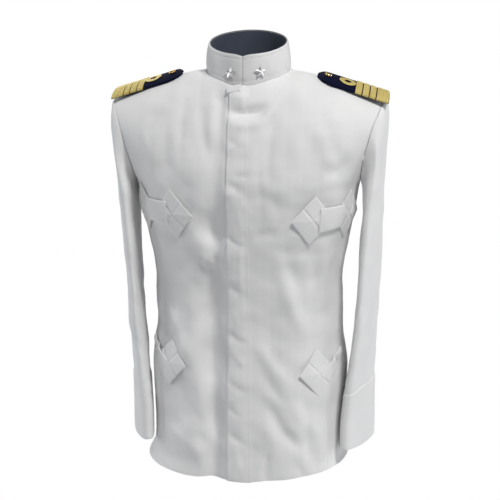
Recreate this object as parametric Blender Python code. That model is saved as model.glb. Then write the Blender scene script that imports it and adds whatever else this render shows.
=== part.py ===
"""A naval full dress tunic in white cloth, worn shape, hollow, with stand collar and shoulder boards.

The garment faces -Y, the wearer's left side is at +X and +Z is up. The origin is on the neck's
axis at the height where the shoulder seams meet the collar. Tables are in centimetres.
"""

import math

import bmesh
import bpy
import numpy as np

CM = 0.01

# Driving sizes in centimetres
CLOTH = 0.15  # wall of the body and the sleeves
COLLAR_WALL = 0.2
SEAM_GAP = 0.03
ARMPIT_Z = -18.0
HEM_Z = -68.4
HEM_LIFT = 1.3
ARCH = 24.0  # length given to the part of the body above the armpit, from there to the shoulder seam
ARCH_POWER = 0.9
NECK_WIDTH = 6.95  # half the collar seam's width
NECK_FRONT = 7.6
NECK_BACK = 7.1
COLLAR_TOP_WIDTH = 6.55
COLLAR_TOP_FRONT = 6.95
COLLAR_TOP_BACK = 6.5
COLLAR_TOP_Z = 4.78
COLLAR_TOP_TILT = 0.21
COLLAR_NOTCH = 0.3  # how far the collar's rounded corners drop at the centre front
LINING_BACK = 3.2  # how much lower the lining hangs at the back
TIP_X = 22.35  # the shoulder seam's outer end
CUFF_HEIGHT = 10.6
BOARD_LENGTH = 12.2
BOARD_HALF_WIDTH = 2.85
BOARD_THICK = 0.25  # at its edges
BOARD_CROWN = 0.38  # how much thicker it is along its middle
BOARD_INNER_X = 10.8
BOARD_SHIFT = 0.6  # how much farther out the board on the wearer's left sits
BOARD_SLOPE = 0.31
BOARD_ROLL = 11.0  # how far the board leans to the front, in degrees
BOARD_Y = -0.8
BOARD_LIFT = 0.07
LACE = 0.08
BUTTON_RADIUS = 0.62
STAR_RADIUS = 0.95
DIAMOND_WIDE = 3.6  # half the diagonals of a pocket's diamond
DIAMOND_TALL = 4.15
PATCH = 0.08  # thickness of a pocket's patch

# Level sections of the body
BODY_COLUMNS = ("z", "half_width", "front", "back", "power")
BODY = (
    (-68.4, 18.4, 12.7, 11.8, 2.30),
    (-66.0, 17.3, 12.7, 11.8, 2.30),
    (-62.0, 16.95, 12.6, 11.7, 2.30),
    (-57.0, 17.0, 12.4, 11.5, 2.30),
    (-51.0, 17.2, 12.1, 11.2, 2.28),
    (-47.5, 16.85, 11.7, 10.7, 2.25),
    (-43.0, 16.25, 11.3, 10.1, 2.25),
    (-37.0, 16.1, 11.2, 9.9, 2.25),
    (-32.0, 16.4, 11.6, 10.2, 2.28),
    (-28.3, 17.0, 12.1, 10.6, 2.30),
    (-23.3, 17.95, 12.6, 11.0, 2.35),
    (-18.0, 18.8, 12.8, 11.3, 2.40),
    (-16.5, 19.5, 12.75, 11.3, 2.40),
    (-14.0, 20.9, 12.6, 11.3, 2.40),
    (-11.0, 23.2, 12.3, 11.2, 2.40),
    (-8.0, 26.0, 12.1, 11.1, 2.40),
    (-4.0, 29.5, 11.9, 10.9, 2.40),
    (3.0, 34.0, 11.6, 10.5, 2.40),
    (9.0, 36.0, 11.5, 10.4, 2.40),
)

# The height where the front and the back would meet, over each distance from the centre
CREST_COLUMNS = ("x", "front", "back")
CREST = (
    (0.0, 3.1, 7.4),
    (3.5, 2.1, 5.7),
    (6.0, 0.65, 2.3),
    (7.25, 0.15, 0.15),
    (9.0, -0.1, -0.1),
    (12.0, -0.85, -0.85),
    (17.0, -2.55, -2.55),
    (22.4, -4.65, -4.65),
    (26.0, -6.2, -6.2),
    (40.0, -9.0, -9.0),
)

# The armhole, as the distance from the centre at each angle of the arch
ARMHOLE_COLUMNS = ("angle", "x")
ARMHOLE = ((0, 18.8), (6, 18.9), (16, 19.2), (29, 19.9), (46, 20.75), (62, 21.6), (90, TIP_X))
ARMHOLE_ANGLES = (0, 0.7, 2, 4, 7, 11, 16, 22, 29, 37, 46, 56, 67, 78, 90)
SEAM_AT = 4  # the place in ARMHOLE_ANGLES where the side panel's seams end

# The side panel's two seams, as distances from the centre
SEAM_COLUMNS = ("z", "front", "back")
SEAM = (
    (-68.4, 14.5, 13.6),
    (-60.0, 14.3, 13.3),
    (-50.0, 13.9, 12.9),
    (-43.0, 13.6, 12.6),
    (-36.0, 13.7, 12.8),
    (-29.0, 14.2, 13.6),
    (-24.0, 15.3, 14.9),
    (-20.5, 16.9, 16.6),
    (-18.0, 18.1, 17.9),
)

# Wide soft folds: where, how long and wide to each side, which way they run and how far out
FOLD_COLUMNS = ("side", "x", "z", "half_length", "half_width", "turn", "out")
FOLDS = (
    (-1, -4.6, -16.0, 16.0, 2.4, 0, -0.16),
    (-1, -4.2, -52.0, 16.0, 2.4, 4, -0.16),
    (-1, -9.0, -45.0, 7.0, 2.6, 28, 0.22),
    (-1, -7.0, -56.0, 9.0, 2.6, 24, 0.20),
    (-1, 6.5, -41.0, 9.0, 2.8, -30, 0.24),
    (-1, 8.5, -58.0, 9.0, 2.8, -22, 0.18),
    (-1, 9.5, -13.0, 7.0, 3.4, 30, 0.20),
    (-1, -9.5, -12.0, 7.0, 3.4, -30, 0.20),
    (1, 6.0, -40.0, 9.0, 3.0, 32, 0.24),
    (1, -6.5, -43.0, 9.0, 3.0, -30, 0.22),
    (1, 0.0, -58.0, 10.0, 2.6, 0, 0.16),
    (1, 9.0, -20.0, 9.0, 3.0, 16, 0.20),
    (1, -9.0, -21.0, 9.0, 3.0, -18, 0.20),
)

# Sections of the sleeve below its head
SLEEVE_COLUMNS = ("z", "x", "y", "half_thick", "half_depth", "toe_in", "tilt")
SLEEVE = (
    (-21.0, 21.0, 0.1, 1.55, 7.5, 6.0, 0.00),
    (-24.0, 20.95, 0.1, 1.45, 7.5, 7.0, 0.00),
    (-30.0, 20.8, 0.1, 1.35, 7.4, 9.0, 0.00),
    (-36.0, 20.6, 0.0, 1.34, 7.3, 9.5, 0.02),
    (-42.0, 20.35, -0.2, 1.40, 7.15, 10.5, 0.06),
    (-50.0, 19.8, -0.4, 1.45, 7.0, 13.0, 0.12),
    (-56.0, 19.45, -0.7, 1.50, 6.9, 16.0, 0.15),
    (-60.0, 19.35, -0.9, 1.50, 6.85, 18.0, 0.16),
    (-64.8, 19.35, -1.2, 1.50, 6.85, 18.5, 0.16),
)
SLEEVE_LEVELS = (-21.0, -24.5, -29.0, -34.0, -39.0, -44.0, -49.0)
NEARER = 0.3  # how much nearer the body the wearer's right sleeve hangs
HEAD_STEPS = (0.0, 0.04, 0.12, 0.26, 0.46, 0.74)
FRONT_SEAM_AT = 5  # the sleeve's seams, counted round from the armpit towards the front
BACK_SEAM_AT = 20

# The board's half width at each distance from its inner end
BOARD_COLUMNS = ("along", "half_width")
BOARD = ((0.0, 0.75), (0.35, 1.5), (0.9, 2.15), (1.7, 2.6), (2.5, BOARD_HALF_WIDTH),
         (BOARD_LENGTH, BOARD_HALF_WIDTH))

# Gold lace bands over the board, from and to distances from its inner end
BAND_COLUMNS = ("name", "start", "end")
BANDS = (
    ("band_inner", 6.50, 7.55),
    ("band_middle", 7.73, 8.75),
    ("band_outer", 8.93, 9.90),
    ("band_broad", 10.08, 12.10),
)
# The pockets, as the place of each diamond's centre
POCKET_COLUMNS = ("side", "chest_x", "chest_z", "hip_x", "hip_z")
POCKETS = ((1, 11.6, -22.5, 12.7, -49.4), (-1, 10.9, -21.9, 12.5, -48.5))

CURL_AT = 5.03
CURL_RADIUS = 1.42
CURL_HOLE = 0.58
BUTTON_AT = 1.65

# Colours of the materials
MATERIALS = (
    ("white_cloth", (0.80, 0.80, 0.80), 0.0, 0.85),
    ("dark_lining", (0.035, 0.042, 0.055), 0.0, 0.8),
    ("navy_cloth", (0.010, 0.014, 0.040), 0.0, 0.8),
    ("gold_lace", (0.72, 0.48, 0.13), 0.7, 0.45),
    ("gilt_metal", (0.85, 0.60, 0.20), 1.0, 0.25),
    ("silver_metal", (0.80, 0.80, 0.82), 1.0, 0.2),
)


def column(rows, columns, name):
    """One named column of a table, as numbers."""
    place = columns.index(name)
    return np.array([row[place] for row in rows], float)


def smooth(rows, columns, name, at):
    """A table's named column at any place of its first one, on a curve that never overshoots."""
    xs = column(rows, columns, columns[0])
    ys = column(rows, columns, name)
    order = np.argsort(xs)
    xs, ys = xs[order], ys[order]
    steps = np.diff(xs)
    slopes = np.diff(ys) / steps
    ends = np.zeros(len(xs))
    ends[0], ends[-1] = slopes[0], slopes[-1]
    same = slopes[1:] * slopes[:-1] > 0
    weight_a = 2 * steps[1:] + steps[:-1]
    weight_b = steps[1:] + 2 * steps[:-1]
    safe = np.where(same, slopes[1:], 1.0)
    safe_before = np.where(same, slopes[:-1], 1.0)
    mean = (weight_a + weight_b) / (weight_a / safe_before + weight_b / safe)
    ends[1:-1] = np.where(same, mean, 0.0)
    at = np.clip(np.asarray(at, float), xs[0], xs[-1])
    i = np.clip(np.searchsorted(xs, at, side="right") - 1, 0, len(steps) - 1)
    t = (at - xs[i]) / steps[i]
    a = (1 + 2 * t) * (1 - t) ** 2
    b = t * (1 - t) ** 2
    c = t * t * (3 - 2 * t)
    d = t * t * (t - 1)
    return a * ys[i] + b * steps[i] * ends[i] + c * ys[i + 1] + d * steps[i] * ends[i + 1]


def fold_out(x, z, side):
    """How far the soft folds push the cloth out at a place of the front or the back."""
    total = np.zeros(np.broadcast(x, z).shape)
    for which, fx, fz, half_length, half_width, turn, out in FOLDS:
        c, s = math.cos(math.radians(turn)), math.sin(math.radians(turn))
        along = (z - fz) * c + (x - fx) * s
        across = (x - fx) * c - (z - fz) * s
        bump = out * np.exp(-((along / half_length) ** 2) - (across / half_width) ** 2)
        total = total + np.where(side == which, bump, 0.0)
    return total


def torso(turn, rise, hand):
    """A point of the body's outside.

    turn is the angle round the body in degrees, from -90 at the centre front over 0 at the side
    to 90 at the centre back. rise is the height over the armpit in centimetres below it, and the
    length over the arch to the shoulder seam above it. hand is 1 or -1 for the side of +X or -X.
    """
    turn, rise = np.broadcast_arrays(np.asarray(turn, float), np.asarray(rise, float))
    side = np.where(turn <= 0, -1.0, 1.0)
    swing = np.radians(np.clip(np.abs(turn), 0, 90))
    arch = np.radians(np.clip(rise, 0, ARCH) / ARCH * 90)
    x = np.full(turn.shape, 12.0)
    for _ in range(22):
        z = body_height(x, rise, arch, side)
        power = smooth(BODY, BODY_COLUMNS, "power", z)
        width = smooth(BODY, BODY_COLUMNS, "half_width", z)
        x = 0.5 * x + 0.5 * width * np.maximum(np.cos(swing), 0) ** (2 / power)
    z = body_height(x, rise, arch, side)
    depth = np.where(
        side < 0,
        smooth(BODY, BODY_COLUMNS, "front", z),
        smooth(BODY, BODY_COLUMNS, "back", z),
    )
    over = np.maximum(np.cos(arch), 0) ** ARCH_POWER
    y = side * depth * np.sin(swing) ** (2 / power) * over
    out = fold_out(hand * x, z, side) * over * np.sin(swing)
    y = y + side * out * np.sin(swing)
    x = x + out * np.cos(swing)
    return np.stack([hand * x, y, z], axis=-1)


def body_height(x, rise, arch, side):
    """The height of a point of the body, from its distance from the centre and its rise."""
    crest = np.where(
        side < 0,
        smooth(CREST, CREST_COLUMNS, "front", x),
        smooth(CREST, CREST_COLUMNS, "back", x),
    )
    above = ARMPIT_Z + (crest - ARMPIT_Z) * np.sin(arch)
    return np.where(rise <= 0, ARMPIT_Z + rise, above)


def torso_normal(turn, rise, hand):
    """The direction out of the body at a point of it."""
    turn, rise = np.broadcast_arrays(np.asarray(turn, float), np.asarray(rise, float))
    side = np.where(turn <= 0, -1.0, 1.0)
    low = np.where(side < 0, -89.9, 0.01)
    high = np.where(side < 0, -0.01, 89.9)
    middle = np.clip(turn, low + 0.4, high - 0.4)
    level = np.minimum(rise, ARCH - 0.15)
    round_it = torso(middle + 0.4, level, hand) - torso(middle - 0.4, level, hand)
    upward = torso(middle, level + 0.1, hand) - torso(middle, level - 0.1, hand)
    normal = np.cross(round_it, upward) * hand
    return normal / np.linalg.norm(normal, axis=-1, keepdims=True)


def turn_at(x, rise, side):
    """The turn that has a given distance from the centre at a given rise."""
    arch = np.radians(np.clip(rise, 0, ARCH) / ARCH * 90)
    z = body_height(np.asarray(x, float), np.asarray(rise, float), arch, side)
    power = smooth(BODY, BODY_COLUMNS, "power", z)
    width = smooth(BODY, BODY_COLUMNS, "half_width", z)
    share = np.clip(x / width, 0, 1) ** (power / 2)
    return side * np.degrees(np.arccos(share))


def neck_places(side, grow):
    """Turns and rises of the body where it meets the neck, from the centre to the side."""
    angle = np.radians(np.linspace(0, 90, 8))
    x = (NECK_WIDTH + grow) * np.sin(angle)
    y = ((NECK_FRONT if side < 0 else NECK_BACK) + grow) * np.cos(angle)
    low, high = np.zeros(8), np.full(8, ARCH)
    for _ in range(30):
        rise = (low + high) / 2
        outside = np.abs(torso(turn_at(x, rise, side), rise, 1)[:, 1]) > y
        low = np.where(outside, rise, low)
        high = np.where(outside, high, rise)
    turn = turn_at(x, high, side)
    turn[0] = side * 90.0
    return np.stack([turn, high], axis=-1)


def coons(bottom, top, start, end):
    """A grid between four edges that share their corners, each a list of places."""
    bottom, top, start, end = (np.array(edge, float) for edge in (bottom, top, start, end))
    u = np.linspace(0, 1, len(bottom))[None, :, None]
    v = np.linspace(0, 1, len(start))[:, None, None]
    sides = (1 - u) * start[:, None] + u * end[:, None]
    ends = (1 - v) * bottom[None] + v * top[None]
    corners = (1 - v) * ((1 - u) * bottom[0] + u * bottom[-1]) + v * ((1 - u) * top[0] + u * top[-1])
    return sides + ends - corners


def unit(vectors):
    return vectors / np.maximum(np.linalg.norm(vectors, axis=-1, keepdims=True), 1e-12)


def grid_normals(points, wrap):
    """Directions square to a grid of points, pointing to the right of its rows."""
    if wrap:
        across = np.roll(points, -1, axis=1) - np.roll(points, 1, axis=1)
    else:
        across = np.gradient(points, axis=1)
    return unit(np.cross(across, np.gradient(points, axis=0)))


def wall(name, outer, normals, thickness, wrap=False):
    """A closed piece of cloth: a grid of points, the same grid moved in, and the rim between."""
    inner = outer - normals * thickness
    rows, columns = outer.shape[:2]
    mesh = bpy.data.meshes.new(name)
    shape = bmesh.new()
    layers = []
    for layer in (outer, inner):
        layers.append([[shape.verts.new(tuple(p * CM)) for p in row] for row in layer])
    last = columns if wrap else columns - 1
    for i in range(rows - 1):
        for j in range(last):
            k = (j + 1) % columns
            for layer in layers:
                shape.faces.new((layer[i][j], layer[i][k], layer[i + 1][k], layer[i + 1][j]))
    for i in (0, rows - 1):
        for j in range(last):
            k = (j + 1) % columns
            shape.faces.new((layers[0][i][j], layers[0][i][k], layers[1][i][k], layers[1][i][j]))
    if not wrap:
        for j in (0, columns - 1):
            for i in range(rows - 1):
                shape.faces.new(
                    (layers[0][i][j], layers[0][i + 1][j], layers[1][i + 1][j], layers[1][i][j])
                )
    bmesh.ops.recalc_face_normals(shape, faces=shape.faces)
    shape.to_mesh(mesh)
    shape.free()
    return place(name, mesh)


def place(name, mesh):
    """An object for a mesh, in the garment's collection."""
    item = bpy.data.objects.new(name, mesh)
    garment.objects.link(item)
    return item


def paint(item, material):
    item.data.materials.clear()
    item.data.materials.append(materials[material])
    return item


def pulled_in(points, edges, distance):
    """The grid with its named edges moved in, which leaves a seam's gap."""
    points = points.copy()
    if "start" in edges:
        points[:, 0] += unit(points[:, 1] - points[:, 0]) * distance
    if "end" in edges:
        points[:, -1] += unit(points[:, -2] - points[:, -1]) * distance
    if "top" in edges:
        points[-1] += unit(points[-2] - points[-1]) * distance
    if "bottom" in edges:
        points[0] += unit(points[1] - points[0]) * distance
    return points


def armhole_places(side):
    """Turns and rises of the armhole from the armpit to the shoulder's tip."""
    angles = np.array(ARMHOLE_ANGLES, float)
    x = smooth(ARMHOLE, ARMHOLE_COLUMNS, "x", angles)
    rise = angles / 90 * ARCH
    turn = turn_at(x, rise, side)
    turn[0] = 0.0 if side < 0 else 1e-6
    return np.stack([turn, rise], axis=-1)


def hem_rise(turn, hand):
    """The hem's rise at a turn. It hangs a little higher at the wearer's left side."""
    lift = HEM_LIFT if hand > 0 else 0.0
    return HEM_Z - ARMPIT_Z + lift * np.cos(np.radians(turn))


def seam_places(side, hand):
    """Turns and rises of a side seam, from the hem to the armhole."""
    low = float(hem_rise(40.0, hand)) + ARMPIT_Z
    levels = np.linspace(low, ARMPIT_Z - 0.8, 12)
    x = smooth(SEAM, SEAM_COLUMNS, "front" if side < 0 else "back", levels)
    rise = levels - ARMPIT_Z
    turn = turn_at(x, rise, side)
    rise[0] = hem_rise(turn[0], hand)
    places = np.stack([turn, rise], axis=-1)
    return np.vstack([places, armhole_places(side)[SEAM_AT]])


def body_panel(name, side, hand):
    """A front or a back panel: from the centre to the side seam and the armhole."""
    outer = np.vstack([seam_places(side, hand), armhole_places(side)[SEAM_AT + 1:]])
    neck = neck_places(side, SEAM_GAP)
    across = np.linspace(NECK_WIDTH + SEAM_GAP, TIP_X, 8)
    shoulder = np.stack([turn_at(across, np.full(8, ARCH), side), np.full(8, ARCH)], axis=-1)
    shoulder[-1] = outer[-1]
    neck[-1] = shoulder[0]
    top = np.vstack([neck, shoulder[1:]])
    centre_rise = np.linspace(HEM_Z - ARMPIT_Z, neck[0][1], len(outer))
    centre = [(side * 90.0, rise) for rise in centre_rise]
    hem_turn = np.linspace(side * 90.0, outer[0][0], len(top))
    hem = np.stack([hem_turn, hem_rise(hem_turn, hand)], axis=-1)
    places = coons(hem, top, centre, outer)
    points = torso(places[..., 0], places[..., 1], hand)
    normals = torso_normal(places[..., 0], places[..., 1], hand)
    upright = np.zeros_like(normals[-1, :8])
    upright[:, 2] = 1 / np.maximum(normals[-1, :8, 2], 0.35)
    normals[-1, :8] = upright
    points = pulled_in(points, ("start", "end"), SEAM_GAP / 2)
    points[-1, 8:] += unit(points[-2, 8:] - points[-1, 8:]) * SEAM_GAP / 2
    paint(wall(name, points, normals, CLOTH), "white_cloth")
    return centre_rise


def side_panel(name, hand):
    """The panel under the arm, between the front's and the back's seams."""
    front, back = seam_places(-1, hand), seam_places(1, hand)
    arm_front, arm_back = armhole_places(-1), armhole_places(1)
    top = np.vstack([arm_front[SEAM_AT::-1], arm_back[1:SEAM_AT + 1]])
    hem_turn = np.linspace(front[0][0], back[0][0], len(top))
    hem = np.stack([hem_turn, hem_rise(hem_turn, hand)], axis=-1)
    places = coons(hem, top, front, back)
    points = torso(places[..., 0], places[..., 1], hand)
    normals = torso_normal(places[..., 0], places[..., 1], hand)
    points = pulled_in(points, ("start", "end", "top"), SEAM_GAP / 2)
    return paint(wall(name, points, normals, CLOTH), "white_cloth")


def sleeve_ring(level, count, nearer):
    """A ring round the sleeve, from the armpit's side over the front, the outside and the back."""
    value = {c: float(smooth(SLEEVE, SLEEVE_COLUMNS, c, level)) for c in SLEEVE_COLUMNS[1:]}
    angle = np.pi + np.arange(count) * 2 * np.pi / count
    c, s = np.cos(angle), np.sin(angle)
    p = value["half_thick"] * np.sign(c) * np.abs(c) ** (2 / 2.4)
    q = value["half_depth"] * np.sign(s) * np.abs(s) ** (2 / 2.1)
    toe = math.radians(value["toe_in"])
    nearer = nearer * min(max((level + 57.0) / 15.0, 0.0), 1.0)
    x = value["x"] - nearer + p * math.cos(toe) + q * math.sin(toe)
    y = value["y"] + q * math.cos(toe) - p * math.sin(toe)
    z = level - value["tilt"] * (y - value["y"])
    return np.stack([x, y, z], axis=-1)


def armhole_ring():
    """The sleeve's first ring, just outside the armhole."""
    front = torso(*armhole_places(-1).T, 1)
    back = torso(*armhole_places(1).T, 1)
    ring = np.vstack([front, back[-2:0:-1]])
    away = np.array([1.0, 0.0, -0.3])
    return ring + away / np.linalg.norm(away) * SEAM_GAP


def sleeve_grid(nearer):
    """All points of the outside of a sleeve at +X, from the armhole to the cuff's end."""
    first = armhole_ring()
    count = len(first)
    second = sleeve_ring(SLEEVE_LEVELS[0], count, nearer)
    up = ((first[:, 2] - first[:, 2].min()) / np.ptp(first[:, 2]))[:, None]
    leave = unit((1 - up) * np.array([0.42, 0.0, -1.0]) + up * np.array([1.0, 0.0, -0.22]))
    reach = np.linalg.norm(second - first, axis=1, keepdims=True)
    start = first + leave * np.where(up > 0.6, 1.9, 0.3 * reach)
    finish = second + np.array([0.0, 0.0, 1.0]) * reach * 0.42
    rows = []
    for t in HEAD_STEPS:
        rows.append(
            (1 - t) ** 3 * first
            + 3 * t * (1 - t) ** 2 * start
            + 3 * t * t * (1 - t) * finish
            + t ** 3 * second
        )
    cuff_levels = np.linspace(SLEEVE[-1][0] + CUFF_HEIGHT, SLEEVE[-1][0], 5)
    levels = SLEEVE_LEVELS + tuple(cuff_levels)
    rows += [sleeve_ring(level, count, nearer) for level in levels]
    return np.array(rows)


def mirrored(points, hand):
    return points * np.array([hand, 1.0, 1.0])


def sleeve(hand, label):
    """The two pieces of a sleeve and its cuff."""
    grid = sleeve_grid(NEARER if hand < 0 else 0.0)
    normals = -grid_normals(grid, wrap=True)
    centre = grid.mean(axis=1, keepdims=True)
    flip = np.sign(((grid - centre) * normals).sum(axis=-1).mean())
    normals = normals * flip
    count = grid.shape[1]
    upper = np.arange(FRONT_SEAM_AT, BACK_SEAM_AT + 1)
    under = np.arange(BACK_SEAM_AT, count + FRONT_SEAM_AT + 1) % count
    for name, picked in (("sleeve_upper_", upper), ("sleeve_under_", under)):
        points = pulled_in(grid[:, picked], ("start", "end"), SEAM_GAP / 2)
        item = wall(
            name + label,
            mirrored(points, hand),
            mirrored(normals[:, picked], hand),
            CLOTH,
        )
        paint(item, "white_cloth")
    cuff_rows = grid[-5:].copy()
    cuff_normals = normals[-5:]
    step = np.cos(np.linspace(0, 2 * np.pi, count, endpoint=False) * 2) * 0.5
    back = np.exp(-((np.arange(count) - 21) / 3.0) ** 2) * 1.3
    lift = ((step + back)[:, None]) * unit(grid[-6] - grid[-5])
    cuff_rows[0] += lift
    cuff_rows[-1] += unit(cuff_rows[-2] - cuff_rows[-1]) * 0.05
    outside = cuff_rows + cuff_normals * (SEAM_GAP + 0.12)
    item = wall(
        "cuff_" + label,
        mirrored(outside, hand),
        mirrored(cuff_normals, hand),
        0.12,
        wrap=True,
    )
    paint(item, "white_cloth")


def neck_ring():
    """The collar seam on the body, all round from the centre front to the wearer's left."""
    front = torso(*neck_places(-1, 0.0).T, 1)
    back = torso(*neck_places(1, 0.0).T, 1)
    half = np.vstack([front, back[-2::-1]])
    other = half[-2:0:-1] * np.array([-1.0, 1.0, 1.0])
    return np.vstack([half, other])


def ring_angles():
    """Angles round the neck that belong to the points of neck_ring."""
    quarter = np.linspace(0, 90, 8)
    half = np.concatenate([quarter, 180 - quarter[-2::-1]])
    return np.radians(np.concatenate([half, 360 - half[-2:0:-1]]))


def collar_grid(drop, lower):
    """The collar's outside: rows from its seam to its top edge, closing at the centre front."""
    base = neck_ring()
    angle = ring_angles()
    base = np.vstack([base, base[:1]])
    angle = np.append(angle, 2 * math.pi)
    x = COLLAR_TOP_WIDTH * np.sin(angle)
    y = -np.cos(angle)
    y = np.where(y < 0, y * COLLAR_TOP_FRONT, y * COLLAR_TOP_BACK)
    z = COLLAR_TOP_Z + COLLAR_TOP_TILT * y - drop
    from_front = np.minimum(angle, 2 * math.pi - angle) * 7
    z = z - COLLAR_NOTCH * np.clip(1 - from_front / 1.6, 0, 1) ** 1.5
    top = np.stack([x, y, z], axis=-1)
    foot = base.copy()
    foot[:, 2] -= lower
    share = np.array([0.0, 0.12, 0.5, 0.85, 1.0])[:, None, None]
    straight = (1 - share) * foot[None] + share * top[None]
    bow = 0.12 * np.sin(np.pi * share)
    out = np.stack([np.sin(angle), -np.cos(angle), np.zeros_like(angle)], axis=-1)
    return straight + bow * out[None], out


def collar():
    """The stand collar, and the dark lining inside it that hangs lower at the back of the neck."""
    grid, out = collar_grid(0.0, 0.22)
    grid = pulled_in(grid, ("start", "end"), SEAM_GAP)
    normals = np.broadcast_to(out[None], grid.shape)
    paint(wall("collar", grid, normals, COLLAR_WALL), "white_cloth")
    angle = np.append(ring_angles(), 2 * math.pi)
    inner, out = collar_grid(0.22, 0.22 + LINING_BACK * ((1 - np.cos(angle)) / 2) ** 1.5)
    inner = inner - out[None] * (COLLAR_WALL + SEAM_GAP)
    inner = pulled_in(inner, ("start", "end"), SEAM_GAP)
    paint(wall("collar_lining", inner, normals, 0.1), "dark_lining")


def placket(rises):
    """The fly's front strip, which lies on both fronts from the collar to the hem."""
    levels = rises.copy()
    levels[-1] -= 0.25
    share = (levels - levels[0]) / (levels[-1] - levels[0])
    left, right = 2.45 - 0.5 * share, 1.8 - 0.6 * share
    x = np.stack([-left, -left / 2, 0 * left, right / 2, right], axis=-1)
    rise = np.broadcast_to(levels[:, None], x.shape)
    turn = turn_at(np.abs(x), rise, -1)
    west = (x < 0)[..., None]
    points = np.where(west, torso(turn, rise, -1), torso(turn, rise, 1))
    normals = np.where(west, torso_normal(turn, rise, -1), torso_normal(turn, rise, 1))
    outside = points + normals * (SEAM_GAP + 0.05 + CLOTH)
    outside[-1] += unit(outside[-2] - outside[-1]) * 0.05
    paint(wall("placket", outside, normals, CLOTH), "white_cloth")


def walk(turn, rise, distance, hand):
    """The turn that lies a distance farther round the body at the same level."""
    steps = 16
    for _ in range(steps):
        step = torso(turn + 0.2, rise, hand) - torso(turn, rise, hand)
        turn = turn + distance / steps / (np.linalg.norm(step, axis=-1) / 0.2)
    return turn


def patch(name, hand, x, z, outline, across, down, lift):
    """A thin flat piece on the body: a grid over four corners of a flat shape.

    x and z place the flat shape's origin, its corners are distances round the body and up.
    """
    corners = np.array(outline, float)
    u = np.linspace(0, 1, across + 1)[None, :, None]
    v = np.linspace(0, 1, down + 1)[:, None, None]
    flat = (1 - v) * ((1 - u) * corners[0] + u * corners[1])
    flat = flat + v * ((1 - u) * corners[3] + u * corners[2])
    rise = z - ARMPIT_Z + flat[..., 1]
    start = turn_at(np.full(rise.shape, x), np.full(rise.shape, z - ARMPIT_Z), -1)
    turn = walk(start, rise, flat[..., 0], hand)
    normals = torso_normal(turn, rise, hand)
    outside = torso(turn, rise, hand) + normals * (lift + PATCH)
    return paint(wall(name, outside, normals, PATCH), "white_cloth")


def diamond(x, z):
    """The corners of a pocket's diamond round a place."""
    wide, tall = DIAMOND_WIDE, DIAMOND_TALL
    return ((x - wide, z), (x, z - tall), (x + wide, z), (x, z + tall))


def pockets(hand, label):
    """The welted chest pocket with two diamonds and the slanting hip pocket with one."""
    low = SEAM_GAP + 0.07
    high = low + PATCH + 2 * SEAM_GAP
    spot = next(dict(zip(POCKET_COLUMNS, row)) for row in POCKETS if row[0] == hand)
    x, z = spot["chest_x"], spot["chest_z"]
    patch("chest_diamond_inner_" + label, hand, x, z, diamond(0, 0), 6, 6, low)
    patch("chest_diamond_outer_" + label, hand, x, z, diamond(7.3, 0.2), 8, 8, low)
    welt = ((1.4, -2.0), (6.4, -2.1), (6.4, 1.9), (1.4, 1.9))
    patch("chest_welt_" + label, hand, x, z, welt, 4, 2, high)
    x, z = spot["hip_x"], spot["hip_z"]
    patch("hip_diamond_" + label, hand, x, z, diamond(0, 0), 6, 6, low)
    slant = ((0.0, -0.3), (0.7, -1.1), (5.9, 2.7), (5.3, 3.5))
    patch("hip_welt_" + label, hand, x, z, slant, 1, 5, high)


def board_frame(hand, along, across, up):
    """A point in the board's own directions: along it, across it to the back and out of it."""
    along, across, up = np.broadcast_arrays(
        np.asarray(along, float), np.asarray(across, float), np.asarray(up, float)
    )
    c, s = math.cos(math.radians(BOARD_ROLL)), math.sin(math.radians(BOARD_ROLL))
    slope = math.atan(BOARD_SLOPE)
    start = BOARD_INNER_X + (BOARD_SHIFT if hand > 0 else 0.0)
    x = start + along * math.cos(slope)
    crest = float(smooth(CREST, CREST_COLUMNS, "front", start))
    z = crest - along * math.sin(slope)
    lift = up + BOARD_LIFT
    out = np.array([math.sin(slope) * c, -s, math.cos(slope) * c])
    base = np.stack([x, BOARD_Y + across * c, z + across * s], axis=-1)
    return mirrored(base + out * lift[..., None], hand)


def board_top(along, across):
    """The height of the board's crowned top over its flat underside."""
    rise = np.clip(np.asarray(along, float) / 1.5, 0, 1)
    rise = rise * rise * (3 - 2 * rise)
    return BOARD_THICK + BOARD_CROWN * rise * (1 - (across / BOARD_HALF_WIDTH) ** 2)


def shoulder_board(hand, label):
    """A shoulder board with its lace bands, its curl and its button."""
    alongs = np.array([0.0, 0.35, 0.9, 1.7, 2.5, 4.5, 6.6, 8.8, 11.0, BOARD_LENGTH])[:, None]
    halves = smooth(BOARD, BOARD_COLUMNS, "half_width", alongs)
    share = np.linspace(-1, 1, 7)[None]
    alongs, across = np.broadcast_arrays(alongs, halves * share)
    top = board_frame(hand, alongs, across, board_top(alongs, across))
    bottom = board_frame(hand, alongs, across, 0.0)
    paint(wall("board_" + label, top, top - bottom, 1.0), "navy_cloth")
    for name, start, end in BANDS:
        alongs = np.linspace(start, end, 3)[:, None]
        alongs, across = np.broadcast_arrays(alongs, (BOARD_HALF_WIDTH - 0.02) * share)
        low = board_top(alongs, across) + SEAM_GAP
        top = board_frame(hand, alongs, across, low + LACE)
        bottom = board_frame(hand, alongs, across, low)
        paint(wall(name + "_" + label, top, top - bottom, 1.0), "gold_lace")
    curl(hand, label)
    button(hand, label, float(board_top(BUTTON_AT, 0.0)) + SEAM_GAP)


def curl(hand, label):
    """The ring of lace that stands against the innermost band."""
    angle = np.linspace(0, 2 * math.pi, 20, endpoint=False)[None]
    radius = np.array([CURL_HOLE, (CURL_HOLE + CURL_RADIUS) / 2, CURL_RADIUS])[:, None]
    along = CURL_AT + radius * np.cos(angle)
    across = radius * np.sin(angle)
    low = board_top(along, across) + SEAM_GAP
    top = board_frame(hand, along, across, low + LACE)
    bottom = board_frame(hand, along, across, low)
    paint(wall("curl_" + label, top, top - bottom, 1.0, wrap=True), "gold_lace")


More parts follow.
